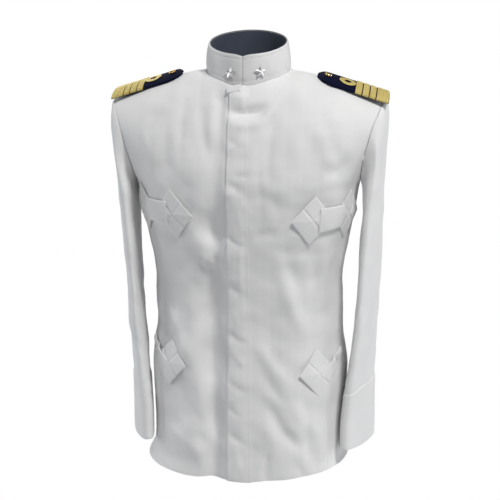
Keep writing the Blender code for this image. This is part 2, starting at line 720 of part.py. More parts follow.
def button(hand, label, low):
    """A domed metal button, turned round its own axis."""
    profile = ((0.0, 0.0), (0.56, 0.0), (0.62, 0.05), (0.62, 0.12), (0.56, 0.17), (0.50, 0.17),
               (0.44, 0.25), (0.33, 0.33), (0.18, 0.39), (0.0, 0.41))
    mesh = bpy.data.meshes.new("button_" + label)
    shape = bmesh.new()
    scale = BUTTON_RADIUS / 0.62
    spine = [shape.verts.new((r * scale * CM, 0.0, h * CM)) for r, h in profile]
    edges = [shape.edges.new((a, b)) for a, b in zip(spine, spine[1:])]
    bmesh.ops.spin(
        shape,
        geom=spine + edges,
        axis=(0, 0, 1),
        cent=(0, 0, 0),
        angle=2 * math.pi,
        steps=16,
        use_merge=True,
    )
    bmesh.ops.remove_doubles(shape, verts=shape.verts, dist=0.00001)
    bmesh.ops.recalc_face_normals(shape, faces=shape.faces)
    for vert in shape.verts:
        x, y, z = (value / CM for value in vert.co)
        vert.co = tuple(board_frame(hand, BUTTON_AT + x, y, low + z) * CM)
    bmesh.ops.recalc_face_normals(shape, faces=shape.faces)
    shape.to_mesh(mesh)
    shape.free()
    paint(place("button_" + label, mesh), "gilt_metal")


def star(name, angle, share, turned):
    """A small five-pointed star with raised ridges, flat on the collar."""
    grid, out = collar_grid(0.0, 0.22)
    angles = np.append(ring_angles(), 2 * math.pi)
    place_at = np.radians(angle % 360)
    rows = [0.0, 0.12, 0.5, 0.85, 1.0]
    column_points = [np.array([np.interp(place_at, angles, row[:, k]) for k in range(3)]) for row in grid]
    centre = np.array([np.interp(share, rows, [p[k] for p in column_points]) for k in range(3)])
    normal = np.array([math.sin(place_at), -math.cos(place_at), 0.0])
    upward = unit(column_points[3] - column_points[1])
    normal = unit(normal - upward * (normal @ upward))
    right = np.cross(upward, normal)
    foot = centre + normal * (SEAM_GAP + 0.085)
    mesh = bpy.data.meshes.new(name)
    shape = bmesh.new()
    rims = []
    for height in (0.0, 0.06):
        rim = []
        for i in range(10):
            radius = STAR_RADIUS if i % 2 == 0 else STAR_RADIUS * 0.42
            a = math.radians(90 + 36 * i + turned)
            point = foot + right * radius * math.cos(a) + upward * radius * math.sin(a)
            rim.append(shape.verts.new(tuple((point + normal * height) * CM)))
        rims.append(rim)
    peak = shape.verts.new(tuple((foot + normal * 0.26) * CM))
    for i in range(10):
        j = (i + 1) % 10
        shape.faces.new((rims[0][i], rims[0][j], rims[1][j], rims[1][i]))
        shape.faces.new((rims[1][i], rims[1][j], peak))
    shape.faces.new(rims[0][::-1])
    bmesh.ops.recalc_face_normals(shape, faces=shape.faces)
    shape.to_mesh(mesh)
    shape.free()
    paint(place(name, mesh), "silver_metal")


for leftover in list(bpy.data.objects):
    bpy.data.objects.remove(leftover, do_unlink=True)

garment = bpy.data.collections.new("naval_full_dress_tunic")
bpy.context.scene.collection.children.link(garment)

materials = {}
for material_name, colour, metal, rough in MATERIALS:
    material = bpy.data.materials.new(material_name)
    material.use_nodes = True
    shader = material.node_tree.nodes["Principled BSDF"]
    shader.inputs["Base Color"].default_value = colour + (1.0,)
    shader.inputs["Metallic"].default_value = metal
    shader.inputs["Roughness"].default_value = rough
    materials[material_name] = material

for hand, label in ((1, "left"), (-1, "right")):
    front_rises = body_panel("front_" + label, -1, hand)
    body_panel("back_" + label, 1, hand)
    side_panel("side_" + label, hand)
    sleeve(hand, label)
    pockets(hand, label)
    shoulder_board(hand, label)
collar()
placket(front_rises)
star("star_left", 23.5, 0.41, 0)
star("star_right", -15.5, 0.40, 0)
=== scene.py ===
"""The naval full dress tunic: fine cloth over the frame that the part's solids give."""

import math

import bmesh
import bpy
import numpy as np
from mathutils import Matrix, Vector


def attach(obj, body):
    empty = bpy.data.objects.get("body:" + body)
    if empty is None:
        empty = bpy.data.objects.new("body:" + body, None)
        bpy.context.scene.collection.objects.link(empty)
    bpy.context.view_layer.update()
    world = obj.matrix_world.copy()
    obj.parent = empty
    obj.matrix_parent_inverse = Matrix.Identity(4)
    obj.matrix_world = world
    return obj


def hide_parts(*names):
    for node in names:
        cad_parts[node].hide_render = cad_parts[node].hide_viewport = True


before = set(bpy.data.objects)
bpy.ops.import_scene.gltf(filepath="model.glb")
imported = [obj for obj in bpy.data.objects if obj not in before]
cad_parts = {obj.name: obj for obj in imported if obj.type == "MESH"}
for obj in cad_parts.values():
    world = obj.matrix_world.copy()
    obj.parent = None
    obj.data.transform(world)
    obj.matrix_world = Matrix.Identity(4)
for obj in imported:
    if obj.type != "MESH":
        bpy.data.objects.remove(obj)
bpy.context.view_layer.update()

CM = 0.01
FRONT, BACK = -1, 1
ALL_EDGES = ("start", "end", "top", "bottom")
GOLDEN_ANGLE = 2.399963  # radians from each wave's direction to the next one's


def table(names, *rows):
    """A table's named columns as numbers, in the order of its first one."""
    columns = zip(*sorted(rows))
    return {name: np.array(values, float) for name, values in zip(names.split(), columns)}


# Driving sizes in centimetres
CLOTH = 0.15  # wall of the body and the sleeves
COLLAR_WALL = 0.2
CUFF_WALL = 0.12
LINING_WALL = 0.1
BODY_WAVES = 2.3  # how wavy each cloth is, where 1 barely shows
SLEEVE_WAVES = 1.3
COLLAR_WAVES = 1.4
SEAM_GAP = 0.03
ARMPIT_Z = -18.0
HEM_Z = -68.4
HEM_LIFT = 1.3
ARCH = 24.0  # length given to the part of the body above the armpit, from there to the shoulder seam
ARCH_POWER = 0.9
NECK_WIDTH = 6.95  # half the collar seam's width
NECK_FRONT = 7.6
NECK_BACK = 7.1
COLLAR_TOP_WIDTH = 6.55
COLLAR_TOP_FRONT = 6.95
COLLAR_TOP_BACK = 6.5
COLLAR_TOP_Z = 4.78
COLLAR_TOP_TILT = 0.21
COLLAR_FOOT = 0.22  # how far it goes below its seam
COLLAR_NOTCH = 0.3  # how far the collar's rounded corners drop at the centre front
LINING_BACK = 3.2  # how much lower the lining hangs at the back
TIP_X = 22.35  # the shoulder seam's outer end
CUFF_HEIGHT = 10.6
BOARD_LENGTH = 12.2
BOARD_HALF_WIDTH = 2.85
BOARD_THICK = 0.25  # at its edges
BOARD_CROWN = 0.38  # how much thicker it is along its middle
BOARD_INNER_X = 10.8
BOARD_SHIFT = 0.6  # how much farther out the board on the wearer's left sits
BOARD_SLOPE = 0.31
BOARD_ROLL = 11.0  # how far the board leans to the front, in degrees
BOARD_Y = -0.8
BOARD_LIFT = 0.07
LACE = 0.08
LACE_LOW = 0.035  # the lace's underside over the board
BUTTON_RADIUS = 0.62
STAR_RADIUS = 0.95
DIAMOND_WIDE = 3.6  # half the diagonals of a pocket's diamond
DIAMOND_TALL = 4.15
PATCH = 0.08  # thickness of a pocket's patch

# Level sections of the body
BODY = table(
    "z half_width front back power",
    (-68.4, 18.4, 12.7, 11.8, 2.30),
    (-66.0, 17.3, 12.7, 11.8, 2.30),
    (-62.0, 16.95, 12.6, 11.7, 2.30),
    (-57.0, 17.0, 12.4, 11.5, 2.30),
    (-51.0, 17.2, 12.1, 11.2, 2.28),
    (-47.5, 16.85, 11.7, 10.7, 2.25),
    (-43.0, 16.25, 11.3, 10.1, 2.25),
    (-37.0, 16.1, 11.2, 9.9, 2.25),
    (-32.0, 16.4, 11.6, 10.2, 2.28),
    (-28.3, 17.0, 12.1, 10.6, 2.30),
    (-23.3, 17.95, 12.6, 11.0, 2.35),
    (-18.0, 18.8, 12.8, 11.3, 2.40),
    (-16.5, 19.5, 12.75, 11.3, 2.40),
    (-14.0, 20.9, 12.6, 11.3, 2.40),
    (-11.0, 23.2, 12.3, 11.2, 2.40),
    (-8.0, 26.0, 12.1, 11.1, 2.40),
    (-4.0, 29.5, 11.9, 10.9, 2.40),
    (3.0, 34.0, 11.6, 10.5, 2.40),
    (9.0, 36.0, 11.5, 10.4, 2.40),
)

# The height where the front and the back would meet, over each distance from the centre
CREST = table(
    "x front back",
    (0.0, 3.1, 7.4),
    (3.5, 2.1, 5.7),
    (6.0, 0.65, 2.3),
    (7.25, 0.15, 0.15),
    (9.0, -0.1, -0.1),
    (12.0, -0.85, -0.85),
    (17.0, -2.55, -2.55),
    (22.4, -4.65, -4.65),
    (26.0, -6.2, -6.2),
    (40.0, -9.0, -9.0),
)

# The armhole, as the distance from the centre at each angle of the arch
ARMHOLE = table(
    "angle x",
    (0, 18.8), (6, 18.9), (16, 19.2), (29, 19.9), (46, 20.75), (62, 21.6), (90, TIP_X),
)
ARMHOLE_ANGLES = (0, 0.7, 2, 4, 7, 11, 16, 22, 29, 37, 46, 56, 67, 78, 90)
SEAM_AT = 4  # the place in ARMHOLE_ANGLES where the side panel's seams end

# The side panel's two seams, as distances from the centre
SEAM = table(
    "z front back",
    (-68.4, 14.5, 13.6),
    (-60.0, 14.3, 13.3),
    (-50.0, 13.9, 12.9),
    (-43.0, 13.6, 12.6),
    (-36.0, 13.7, 12.8),
    (-29.0, 14.2, 13.6),
    (-24.0, 15.3, 14.9),
    (-20.5, 16.9, 16.6),
    (-18.0, 18.1, 17.9),
)

# Wide soft folds: front or back, x, z, half their length and width, turn, how far out
FOLDS = (
    (-1, -4.6, -16.0, 16.0, 2.4, 0, -0.16),
    (-1, -4.2, -52.0, 16.0, 2.4, 4, -0.16),
    (-1, -9.0, -45.0, 7.0, 2.6, 28, 0.22),
    (-1, -7.0, -56.0, 9.0, 2.6, 24, 0.20),
    (-1, 6.5, -41.0, 9.0, 2.8, -30, 0.24),
    (-1, 8.5, -58.0, 9.0, 2.8, -22, 0.18),
    (-1, 9.5, -13.0, 7.0, 3.4, 30, 0.20),
    (-1, -9.5, -12.0, 7.0, 3.4, -30, 0.20),
    (1, 6.0, -40.0, 9.0, 3.0, 32, 0.24),
    (1, -6.5, -43.0, 9.0, 3.0, -30, 0.22),
    (1, 0.0, -58.0, 10.0, 2.6, 0, 0.16),
    (1, 9.0, -20.0, 9.0, 3.0, 16, 0.20),
    (1, -9.0, -21.0, 9.0, 3.0, -18, 0.20),
)

SLEEVE_TOP_Z = -21.0  # where the sleeve's head ends
SLEEVE_END_Z = -64.8  # its end inside the cuff

# Sections of the sleeve below its head
SLEEVE = table(
    "z x y half_thick half_depth toe_in tilt",
    (SLEEVE_TOP_Z, 21.0, 0.1, 1.55, 7.5, 6.0, 0.00),
    (-24.0, 20.95, 0.1, 1.45, 7.5, 7.0, 0.00),
    (-30.0, 20.8, 0.1, 1.35, 7.4, 9.0, 0.00),
    (-36.0, 20.6, 0.0, 1.34, 7.3, 9.5, 0.02),
    (-42.0, 20.35, -0.2, 1.40, 7.15, 10.5, 0.06),
    (-50.0, 19.8, -0.4, 1.45, 7.0, 13.0, 0.12),
    (-56.0, 19.45, -0.7, 1.50, 6.9, 16.0, 0.15),
    (-60.0, 19.35, -0.9, 1.50, 6.85, 18.0, 0.16),
    (SLEEVE_END_Z, 19.35, -1.2, 1.50, 6.85, 18.5, 0.16),
)
ROUND = 28  # stations round the sleeve, from the armpit over the front
HALF_ROUND = 14
ARMPIT_WAY = np.array([0.42, 0.0, -1.0])  # the way the sleeve's head leaves the armhole
SHOULDER_WAY = np.array([1.0, 0.0, -0.22])
NEARER = 0.3  # how much nearer the body the wearer's right sleeve hangs
FRONT_SEAM_AT = 5  # the sleeve's seams, counted round from the armpit towards the front
BACK_SEAM_AT = 20

# The board's half width at each distance from its inner end
BOARD = table(
    "along half_width",
    (0.0, 0.75), (0.35, 1.5), (0.9, 2.15), (1.7, 2.6), (2.5, BOARD_HALF_WIDTH),
    (BOARD_LENGTH, BOARD_HALF_WIDTH),
)

# Gold lace bands over the board: name, start and end, from its inner end
BANDS = (
    ("band_inner", 6.50, 7.55),
    ("band_middle", 7.73, 8.75),
    ("band_outer", 8.93, 9.90),
    ("band_broad", 10.08, 12.10),
)

# The pockets: the centre of the inner chest diamond and of the hip diamond
POCKETS = {"left": ((11.6, -22.5), (12.7, -49.4)), "right": ((10.9, -21.9), (12.5, -48.5))}

CURL_AT = 5.03
CURL_RADIUS = 1.42
CURL_HOLE = 0.58
BUTTON_AT = 1.65

CREASES_END_X = 18.5  # where the body's creases have faded out towards the armhole

# Narrow creases: from x and z, to x and z, half their width, how far out, how bowed
FRONT_CREASES = (
    (-1.7, -5.5, 4.0, -4.9, 0.85, -0.95, 0.3),
    (-1.6, -7.3, 3.2, -7.0, 0.7, 0.24, 0.2),
    (3.0, -7.4, 6.6, -3.0, 0.8, 0.32, 0.2),
    (6.0, -3.5, 4.6, -15.5, 1.0, -0.41, 0.6),
    (-0.8, -15.2, 4.6, -15.2, 0.4, -0.20, 0.0),
    (-6.3, -4.5, -5.0, -12.5, 0.9, -0.32, 0.3),
    (-4.3, -4.0, -4.2, -11.0, 0.8, 0.20, 0.0),
    (-8.6, -22.0, -5.0, -27.4, 1.2, 0.22, 0.3),
    (-6.2, -30.6, -4.4, -30.2, 1.3, 0.30, 0.0),
    (-9.5, -27.5, -4.4, -32.5, 1.2, -0.28, 0.4),
    (2.4, -24.8, 6.0, -24.6, 1.1, -0.27, 0.0),
    (5.0, -26.8, 13.0, -28.4, 0.9, -0.20, 0.4),
    (3.4, -19.0, 6.0, -22.4, 1.2, 0.20, 0.0),
    (-12.6, -5.6, -15.6, -9.6, 1.4, -0.41, 0.3),
    (-13.4, -9.0, -14.6, -16.0, 1.0, 0.36, 0.3),
    (-11.6, -8.0, -12.0, -15.0, 1.0, -0.20, 0.0),
    (14.2, -15.5, 17.4, -12.6, 1.1, -0.36, 0.3),
    (12.4, -8.0, 14.8, -14.0, 1.2, 0.28, 0.2),
    (-12.2, -39.6, -8.8, -47.2, 1.2, 0.53, 0.2),
    (-8.4, -42.5, -6.5, -53.0, 1.5, 0.61, 0.3),
    (-6.7, -53.0, -5.6, -63.0, 1.1, 0.57, 0.2),
    (-11.6, -50.5, -9.4, -58.6, 2.2, -0.53, 0.2),
    (-13.8, -60.4, -6.2, -64.2, 1.2, 0.36, -0.4),
    (-7.6, -33.0, -6.6, -41.0, 1.3, -0.24, 0.2),
    (7.0, -32.6, 10.9, -42.6, 1.4, 0.49, 0.6),
    (4.2, -35.0, 6.6, -44.0, 1.5, -0.24, 0.3),
    (4.9, -54.6, 9.8, -62.2, 1.05, -0.57, 0.5),
    (8.6, -53.6, 12.6, -60.4, 1.3, 0.32, 0.4),
    (4.0, -57.5, 6.0, -62.5, 1.1, 0.20, 0.0),
    (4.6, -63.4, 4.2, -68.4, 0.7, -0.32, 0.0),
    (9.0, -64.4, 11.0, -68.4, 0.9, -0.20, 0.0),
    (12.2, -29.5, 11.8, -40.0, 0.9, -0.20, 0.0),
    (-2.2, -9.4, 0.8, -10.8, 0.47, -0.08, 0.15),
    (-2.0, -11.4, 0.2, -9.8, 0.46, 0.10, 0.1),
    (-1.9, -16.2, 1.0, -17.8, 0.65, -0.16, 0.2),
    (-2.1, -18.4, 0.4, -16.8, 0.43, 0.09, 0.1),
    (-0.4, -19.5, 0.6, -24.5, 0.56, 0.07, 0.1),
    (-2.1, -25.2, 0.6, -26.8, 0.47, -0.14, 0.2),
    (0.3, -26.0, 0.1, -35.5, 0.49, 0.12, 0.15),
    (-2.0, -33.6, 0.4, -35.0, 0.68, -0.12, 0.2),
    (-1.9, -36.4, -0.2, -41.0, 0.50, 0.06, 0.1),
    (-2.2, -42.0, 0.8, -43.6, 0.65, -0.19, 0.2),
    (-1.6, -45.0, 0.5, -47.6, 0.54, 0.10, -0.1),
    (-2.2, -50.2, 0.6, -51.8, 0.64, -0.14, 0.2),
    (-2.0, -53.8, 0.3, -52.4, 0.51, 0.07, 0.1),
    (-2.1, -55.0, -0.2, -56.4, 0.50, -0.13, 0.1),
    (-2.0, -59.6, 0.8, -61.4, 0.65, -0.15, 0.2),
    (-0.8, -62.0, 0.2, -67.0, 0.54, 0.08, 0.1),
    (-7.4, -62.0, -6.4, -68.0, 1.2, 0.40, 0.0),
    (-2.9, -26.0, -5.6, -25.0, 1.2, -0.35, 0.0),
    (3.2, -9.0, 3.6, -20.0, 0.8, -0.22, 0.2),
    (4.6, -18.0, 9.4, -15.2, 1.4, 0.26, 0.3),
    (3.0, -44.0, 7.8, -50.6, 1.1, 0.36, 0.3),
    (3.6, -48.4, 7.2, -53.8, 1.0, -0.34, 0.2),
    (7.4, -28.0, 9.2, -34.2, 1.3, -0.30, 0.2),
    (-9.0, -3.6, -9.6, -12.6, 0.9, -0.22, 0.3),
    (-16.6, -8.4, -17.4, -14.8, 0.8, -0.30, 0.0),
    (10.8, -55.4, 12.6, -66.0, 1.1, -0.32, 0.3),
)
BACK_CREASES = (
    (3.4, -31.5, 9.6, -41.5, 1.2, 0.42, 0.5),
    (6.4, -34.0, 11.4, -41.0, 0.9, -0.30, 0.4),
    (-2.6, -32.5, -8.8, -43.0, 1.3, 0.39, 0.5),
    (-6.2, -33.5, -10.8, -40.0, 0.9, -0.27, 0.3),
    (1.6, -43.0, 2.6, -62.0, 1.2, -0.33, 0.5),
    (-2.4, -44.0, -3.6, -64.0, 1.2, 0.30, 0.5),
    (6.0, -50.0, 7.4, -66.0, 1.4, 0.30, 0.4),
    (-8.0, -52.0, -9.2, -66.0, 1.3, -0.27, 0.4),
    (11.8, -6.0, 14.8, -16.0, 1.1, 0.33, 0.4),
    (14.0, -7.0, 16.6, -15.0, 0.9, -0.27, 0.3),
    (-11.6, -6.5, -15.0, -16.5, 1.2, 0.30, 0.4),
    (-14.2, -8.0, -16.4, -15.0, 0.9, -0.24, 0.3),
    (-7.0, -8.5, 6.5, -8.0, 1.4, -0.18, 0.6),
    (-5.0, -5.4, 5.6, -5.2, 1.1, 0.15, 0.4),
    (3.0, -18.0, 9.5, -24.0, 1.4, -0.18, 0.4),
    (-3.5, -20.0, -9.0, -27.0, 1.4, 0.18, 0.4),
)

# The fly's free and sewn edges: how far from the centre at the hem, and how much less above
FLY_TOP_Z = -2.0
FLY_FREE_X = 2.45
FLY_FREE_NARROWS = 0.5
FLY_SEWN_X = 1.8
FLY_SEWN_NARROWS = 0.6
FLY_PROUD = 0.25  # how far its free edge stands over the cloth
FLY_SINKS = 0.17  # how much less the sewn edge does

# The hollow beside the fly's free edge: how deep, how far from it and how wide to each side
FLY_HOLLOW = table(
    "z deep away half_width",
    (-68.4, 1.20, 2.8, 2.0),
    (-63.0, 1.55, 2.9, 2.1),
    (-58.5, 2.05, 2.8, 2.0),
    (-54.0, 1.50, 2.9, 2.1),
    (-49.0, 2.20, 3.2, 2.4),
    (-43.0, 1.75, 2.9, 2.2),
    (-36.0, 1.85, 2.8, 2.1),
    (-31.5, 1.20, 2.4, 1.7),
    (-28.6, 0.55, 2.0, 1.4),
    (-24.5, 1.60, 2.8, 2.1),
    (-20.0, 0.85, 2.2, 1.7),
    (-12.0, 0.50, 1.6, 1.3),
    (-5.0, 0.70, 1.5, 1.2),
    (-1.0, 0.40, 1.3, 1.0),
)

# Hidden buttons pull the fly's strip: x, z, half the width and height, how far out
PLACKET_DIMPLES = (
    (-1.1, -1.2, 1.2, 0.30, 0.32),
    (-0.3, -3.2, 1.4, 0.7, 0.28),
    (1.3, -4.2, 0.7, 1.0, -0.24),
    (-1.0, -9.9, 0.8, 0.9, -0.14),
    (0.6, -8.0, 0.9, 1.6, 0.09),
    (0.4, -12.6, 0.8, 1.0, -0.09),
    (-0.7, -17.0, 1.1, 1.1, -0.20),
    (0.5, -19.4, 0.8, 1.4, 0.09),
    (-0.9, -21.6, 0.8, 1.0, -0.09),
    (-1.2, -26.4, 0.8, 1.4, -0.14),
    (-0.6, -30.0, 0.9, 2.0, 0.09),
    (-1.1, -34.4, 0.8, 1.3, -0.16),
    (0.2, -38.2, 0.9, 1.2, 0.09),
    (-1.3, -42.8, 0.9, 1.3, -0.18),
    (0.0, -46.6, 0.8, 1.4, 0.09),
    (-1.2, -51.0, 1.0, 1.2, -0.19),
    (-1.4, -55.2, 0.7, 0.8, -0.13),
    (0.1, -57.6, 0.9, 1.2, 0.09),
    (-1.0, -60.4, 0.9, 1.4, -0.16),
    (-0.6, -65.0, 0.8, 1.6, 0.11),
)

# Creases of the sleeves: hand or 0, station, z, reach round and up, slant, how far out
SLEEVE_CREASES = (
    (0, 3.0, -23.0, 2.4, 2.2, 0.9, -0.16),
    (0, 25.0, -23.5, 2.4, 2.2, -0.9, -0.16),
    (0, 0.0, -38.0, 3.5, 1.2, 0.3, -0.14),
    (0, 24.6, -60.0, 0.16, 4.6, 0.0, -0.20),
    (1, 10.6, -58.5, 1.0, 5.0, 0.0, -0.14),
    (1, 13.0, -60.5, 1.2, 5.0, 0.2, 0.16),
    (1, 4.0, -61.5, 1.6, 3.0, 0.4, 0.12),
    (-1, 11.0, -59.5, 1.2, 5.0, 0.0, -0.14),
    (-1, 5.2, -57.5, 1.4, 3.4, 0.5, 0.14),
    (1, 9.0, -15.0, 1.2, 7.0, 0.0, 0.10),
    (1, 11.0, -30.0, 1.3, 8.0, 0.6, 0.12),
    (1, 8.2, -39.0, 2.2, 1.6, 1.2, -0.18),
    (1, 9.6, -41.6, 2.4, 1.4, 1.2, 0.14),
    (1, 13.0, -46.0, 1.4, 5.0, 0.3, 0.12),
    (1, 17.5, -33.0, 1.4, 7.0, -0.5, 0.12),
    (1, 19.0, -40.5, 2.2, 1.5, -1.0, -0.14),
    (-1, 9.4, -13.0, 1.2, 7.5, 0.0, 0.12),
    (-1, 12.0, -27.0, 1.4, 8.0, -0.5, 0.12),
    (-1, 8.6, -36.0, 2.2, 1.5, 1.1, -0.16),
    (-1, 10.5, -43.5, 2.4, 1.5, 1.2, 0.14),
    (-1, 7.4, -46.0, 2.0, 1.3, 0.9, -0.14),
    (-1, 16.0, -30.0, 1.5, 7.0, 0.4, 0.12),
    (-1, 18.5, -42.5, 2.2, 1.6, -1.0, -0.14),
)

# The stars on the collar: degrees round the neck from the front, and share of its height
STAR_PLACES = {"left": (23.5, 0.41), "right": (-15.5, 0.40)}

# The camera: angles in degrees, places in centimetres, the lens in millimetres
CAMERA_AZIMUTH = 7.77
CAMERA_AWAY = 182.9
CAMERA_UP = 21.3
CAMERA_PITCH = 15.93
CAMERA_ROLL = 0.31
CAMERA_LENS = 79.34
CAMERA_SHIFT_X = 0.00084
CAMERA_SHIFT_Y = 0.0015
FLOOR_Z = -1.5  # metres, as far under the collar as a tall wearer's feet
FLOOR_RADIUS = 1.25
WORLD_STRENGTH = 0.17

# The lights: name, place in metres, size, power, colour
LIGHTS = (
    ("key", (1.8, -1.9, 3.8), 0.9, 160.0, (1.0, 0.99, 0.97)),
    ("fill", (-3.6, -2.0, 0.6), 2.0, 17.0, (0.96, 0.98, 1.0)),
    ("low", (0.9, -3.5, -0.9), 1.6, 17.0, (1.0, 1.0, 1.0)),
    ("back", (-1.2, 2.8, 1.4), 1.8, 30.0, (1.0, 1.0, 1.0)),
    ("side_left", (-2.9, 0.6, -0.3), 1.6, 34.0, (0.97, 0.98, 1.0)),
    ("side_right", (3.0, 0.4, -0.3), 1.6, 28.0, (0.97, 0.98, 1.0)),
)


def curve(xs, ys, at):
    """Values between the given ones, on a smooth curve that never overshoots."""
    xs, ys = np.asarray(xs, float), np.asarray(ys, float)
    steps = np.diff(xs)
    slopes = np.diff(ys) / steps
    ends = np.zeros(len(xs))
    ends[0], ends[-1] = slopes[0], slopes[-1]
    same = slopes[1:] * slopes[:-1] > 0
    weight_a = 2 * steps[1:] + steps[:-1]
    weight_b = steps[1:] + 2 * steps[:-1]
    safe = np.where(same, slopes[1:], 1.0)
    safe_before = np.where(same, slopes[:-1], 1.0)
    mean = (weight_a + weight_b) / (weight_a / safe_before + weight_b / safe)
    ends[1:-1] = np.where(same, mean, 0.0)
    at = np.clip(np.asarray(at, float), xs[0], xs[-1])
    i = np.clip(np.searchsorted(xs, at, side="right") - 1, 0, len(steps) - 1)
    t = (at - xs[i]) / steps[i]
    a = (1 + 2 * t) * (1 - t) ** 2
    b = t * (1 - t) ** 2
    c = t * t * (3 - 2 * t)
    d = t * t * (t - 1)
    return a * ys[i] + b * steps[i] * ends[i] + c * ys[i + 1] + d * steps[i] * ends[i + 1]


def smooth(columns, name, at):
    """A table's named column at any place of its first one."""
    return curve(next(iter(columns.values())), columns[name], at)


def smooth_on(columns, side, at):
    """A table's front or back column, whichever the side asks for."""
    return np.where(side < 0, smooth(columns, "front", at), smooth(columns, "back", at))


def together(*values):
    """Numbers and arrays as arrays of one shape."""
    return np.broadcast_arrays(*(np.asarray(value, float) for value in values))


def arch_at(rise):
    """The angle of the arch over the armpit at a rise, up to a quarter turn at the shoulder."""
    return np.radians(np.clip(rise, 0, ARCH) / ARCH * 90)


def fold_out(x, z, side):
    """How far the soft folds push the cloth out at a place of the front or the back."""
    total = np.zeros(np.broadcast(x, z).shape)
    for which, fx, fz, half_length, half_width, turn, out in FOLDS:
        c, s = math.cos(math.radians(turn)), math.sin(math.radians(turn))
        along = (z - fz) * c + (x - fx) * s
        across = (x - fx) * c - (z - fz) * s
        bump = out * np.exp(-((along / half_length) ** 2) - (across / half_width) ** 2)
        total = total + np.where(side == which, bump, 0.0)
    return total


def torso(turn, rise, hand):
    """A point of the body's outside.

    turn is the angle round the body in degrees, from -90 at the centre front over 0 at the side
    to 90 at the centre back. rise is the height over the armpit in centimetres below it, and the
    length over the arch to the shoulder seam above it. hand is 1 or -1 for the side of +X or -X.
    """
    turn, rise = together(turn, rise)
    side = np.where(turn <= 0, FRONT, BACK)
    swing = np.radians(np.clip(np.abs(turn), 0, 90))
    arch = arch_at(rise)
    x = np.full(turn.shape, 12.0)
    for _ in range(22):  # x and z depend on each other, and settle together
        z = body_height(x, rise, arch, side)
        power = smooth(BODY, "power", z)
        width = smooth(BODY, "half_width", z)
        x = 0.5 * x + 0.5 * width * np.maximum(np.cos(swing), 0) ** (2 / power)
    z = body_height(x, rise, arch, side)
    over = np.maximum(np.cos(arch), 0) ** ARCH_POWER
    y = side * smooth_on(BODY, side, z) * np.sin(swing) ** (2 / power) * over
    out = fold_out(hand * x, z, side) * over * np.sin(swing)
    y = y + side * out * np.sin(swing)
    x = x + out * np.cos(swing)
    return np.stack([hand * x, y, z], axis=-1)


def body_height(x, rise, arch, side):
    """The height of a point of the body, from its distance from the centre and its rise."""
    above = ARMPIT_Z + (smooth_on(CREST, side, x) - ARMPIT_Z) * np.sin(arch)
    return np.where(rise <= 0, ARMPIT_Z + rise, above)


def torso_normal(turn, rise, hand):
    """The direction out of the body at a point of it."""
    turn, rise = together(turn, rise)
    front = turn <= 0
    low = np.where(front, -89.9, 0.01)
    high = np.where(front, -0.01, 89.9)
    middle = np.clip(turn, low + 0.4, high - 0.4)
    level = np.minimum(rise, ARCH - 0.15)
    round_it = torso(middle + 0.4, level, hand) - torso(middle - 0.4, level, hand)
    upward = torso(middle, level + 0.1, hand) - torso(middle, level - 0.1, hand)
    return unit(np.cross(round_it, upward) * hand)


def turn_at(x, rise, side):
    """The turn that has a given distance from the centre at a given rise."""
    arch = arch_at(rise)
    z = body_height(np.asarray(x, float), np.asarray(rise, float), arch, side)
    share = np.clip(x / smooth(BODY, "half_width", z), 0, 1) ** (smooth(BODY, "power", z) / 2)
    return side * np.degrees(np.arccos(share))


def unit(vectors):
    """Vectors made one long."""
    return vectors / np.maximum(np.linalg.norm(vectors, axis=-1, keepdims=True), 1e-12)


def outward(points, normals, middle):
    """Normals turned, all together, to point away from a middle."""
    return normals * np.sign(((points - middle) * normals).sum(axis=-1).mean())


def mirrored(points, hand):
    """Points at +X, or the same points mirrored to -X."""
    return points * np.array([hand, 1.0, 1.0])


def distances(points, axis=0):
    """The distance of each point from the first one, along a path or along a grid's axis."""
    steps = np.linalg.norm(np.diff(points, axis=axis), axis=-1)
    first = np.zeros_like(np.take(steps, [0], axis=axis))
    return np.concatenate([first, np.cumsum(steps, axis=axis)], axis=axis)


def read_at(at, places, values):
    """Points or directions that are given at some places, read between them."""
    return np.stack([np.interp(at, places, values[:, k]) for k in range(3)], axis=-1)


def finer(places, rows_at, columns_at):
    """A grid of places read at finer stations, counted in the rough grid's own rows and columns."""

    def read(values, at):
        return curve(np.arange(len(values)), values, at)

    tall = np.apply_along_axis(read, 0, np.asarray(places, float), rows_at)
    return np.apply_along_axis(read, 1, tall, columns_at)


def stations(count, each):
    """Stations over a number of steps, with some more close to both ends for the rolled edges."""
    inner = np.linspace(0, count, count * each + 1)
    close = np.array([0.03, 0.07, 0.12])
    return np.unique(np.round(np.concatenate([inner, close, count - close]), 5))


def coons(bottom, top, start, end):
    """A grid between four edges that share their corners, each a list of places."""
    bottom, top, start, end = (np.array(edge, float) for edge in (bottom, top, start, end))
    u = np.linspace(0, 1, len(bottom))[None, :, None]
    v = np.linspace(0, 1, len(start))[:, None, None]
    sides = (1 - u) * start[:, None] + u * end[:, None]
    ends = (1 - v) * bottom[None] + v * top[None]
    corners = (1 - v) * ((1 - u) * bottom[0] + u * bottom[-1]) + v * ((1 - u) * top[0] + u * top[-1])
    return sides + ends - corners


def crease_out(x, z, side):
    """How far the narrow creases push the cloth out at a place of the front or the back."""
    total = np.zeros(np.broadcast(x, z).shape)
    for which, creases in ((FRONT, FRONT_CREASES), (BACK, BACK_CREASES)):
        for from_x, from_z, to_x, to_z, half_width, out, bow in creases:
            length = math.hypot(to_x - from_x, to_z - from_z)
            dx, dz = (to_x - from_x) / length, (to_z - from_z) / length
            along = ((x - from_x) * dx + (z - from_z) * dz) / length * 2 - 1
            across = (x - from_x) * dz - (z - from_z) * dx - bow * (1 - along * along)
            fade = np.exp(-np.minimum(np.abs(along), 3.0) ** 4)
            bump = out * fade * np.exp(-((across / half_width) ** 2))
            total = total + np.where(side == which, bump, 0.0)
    return total


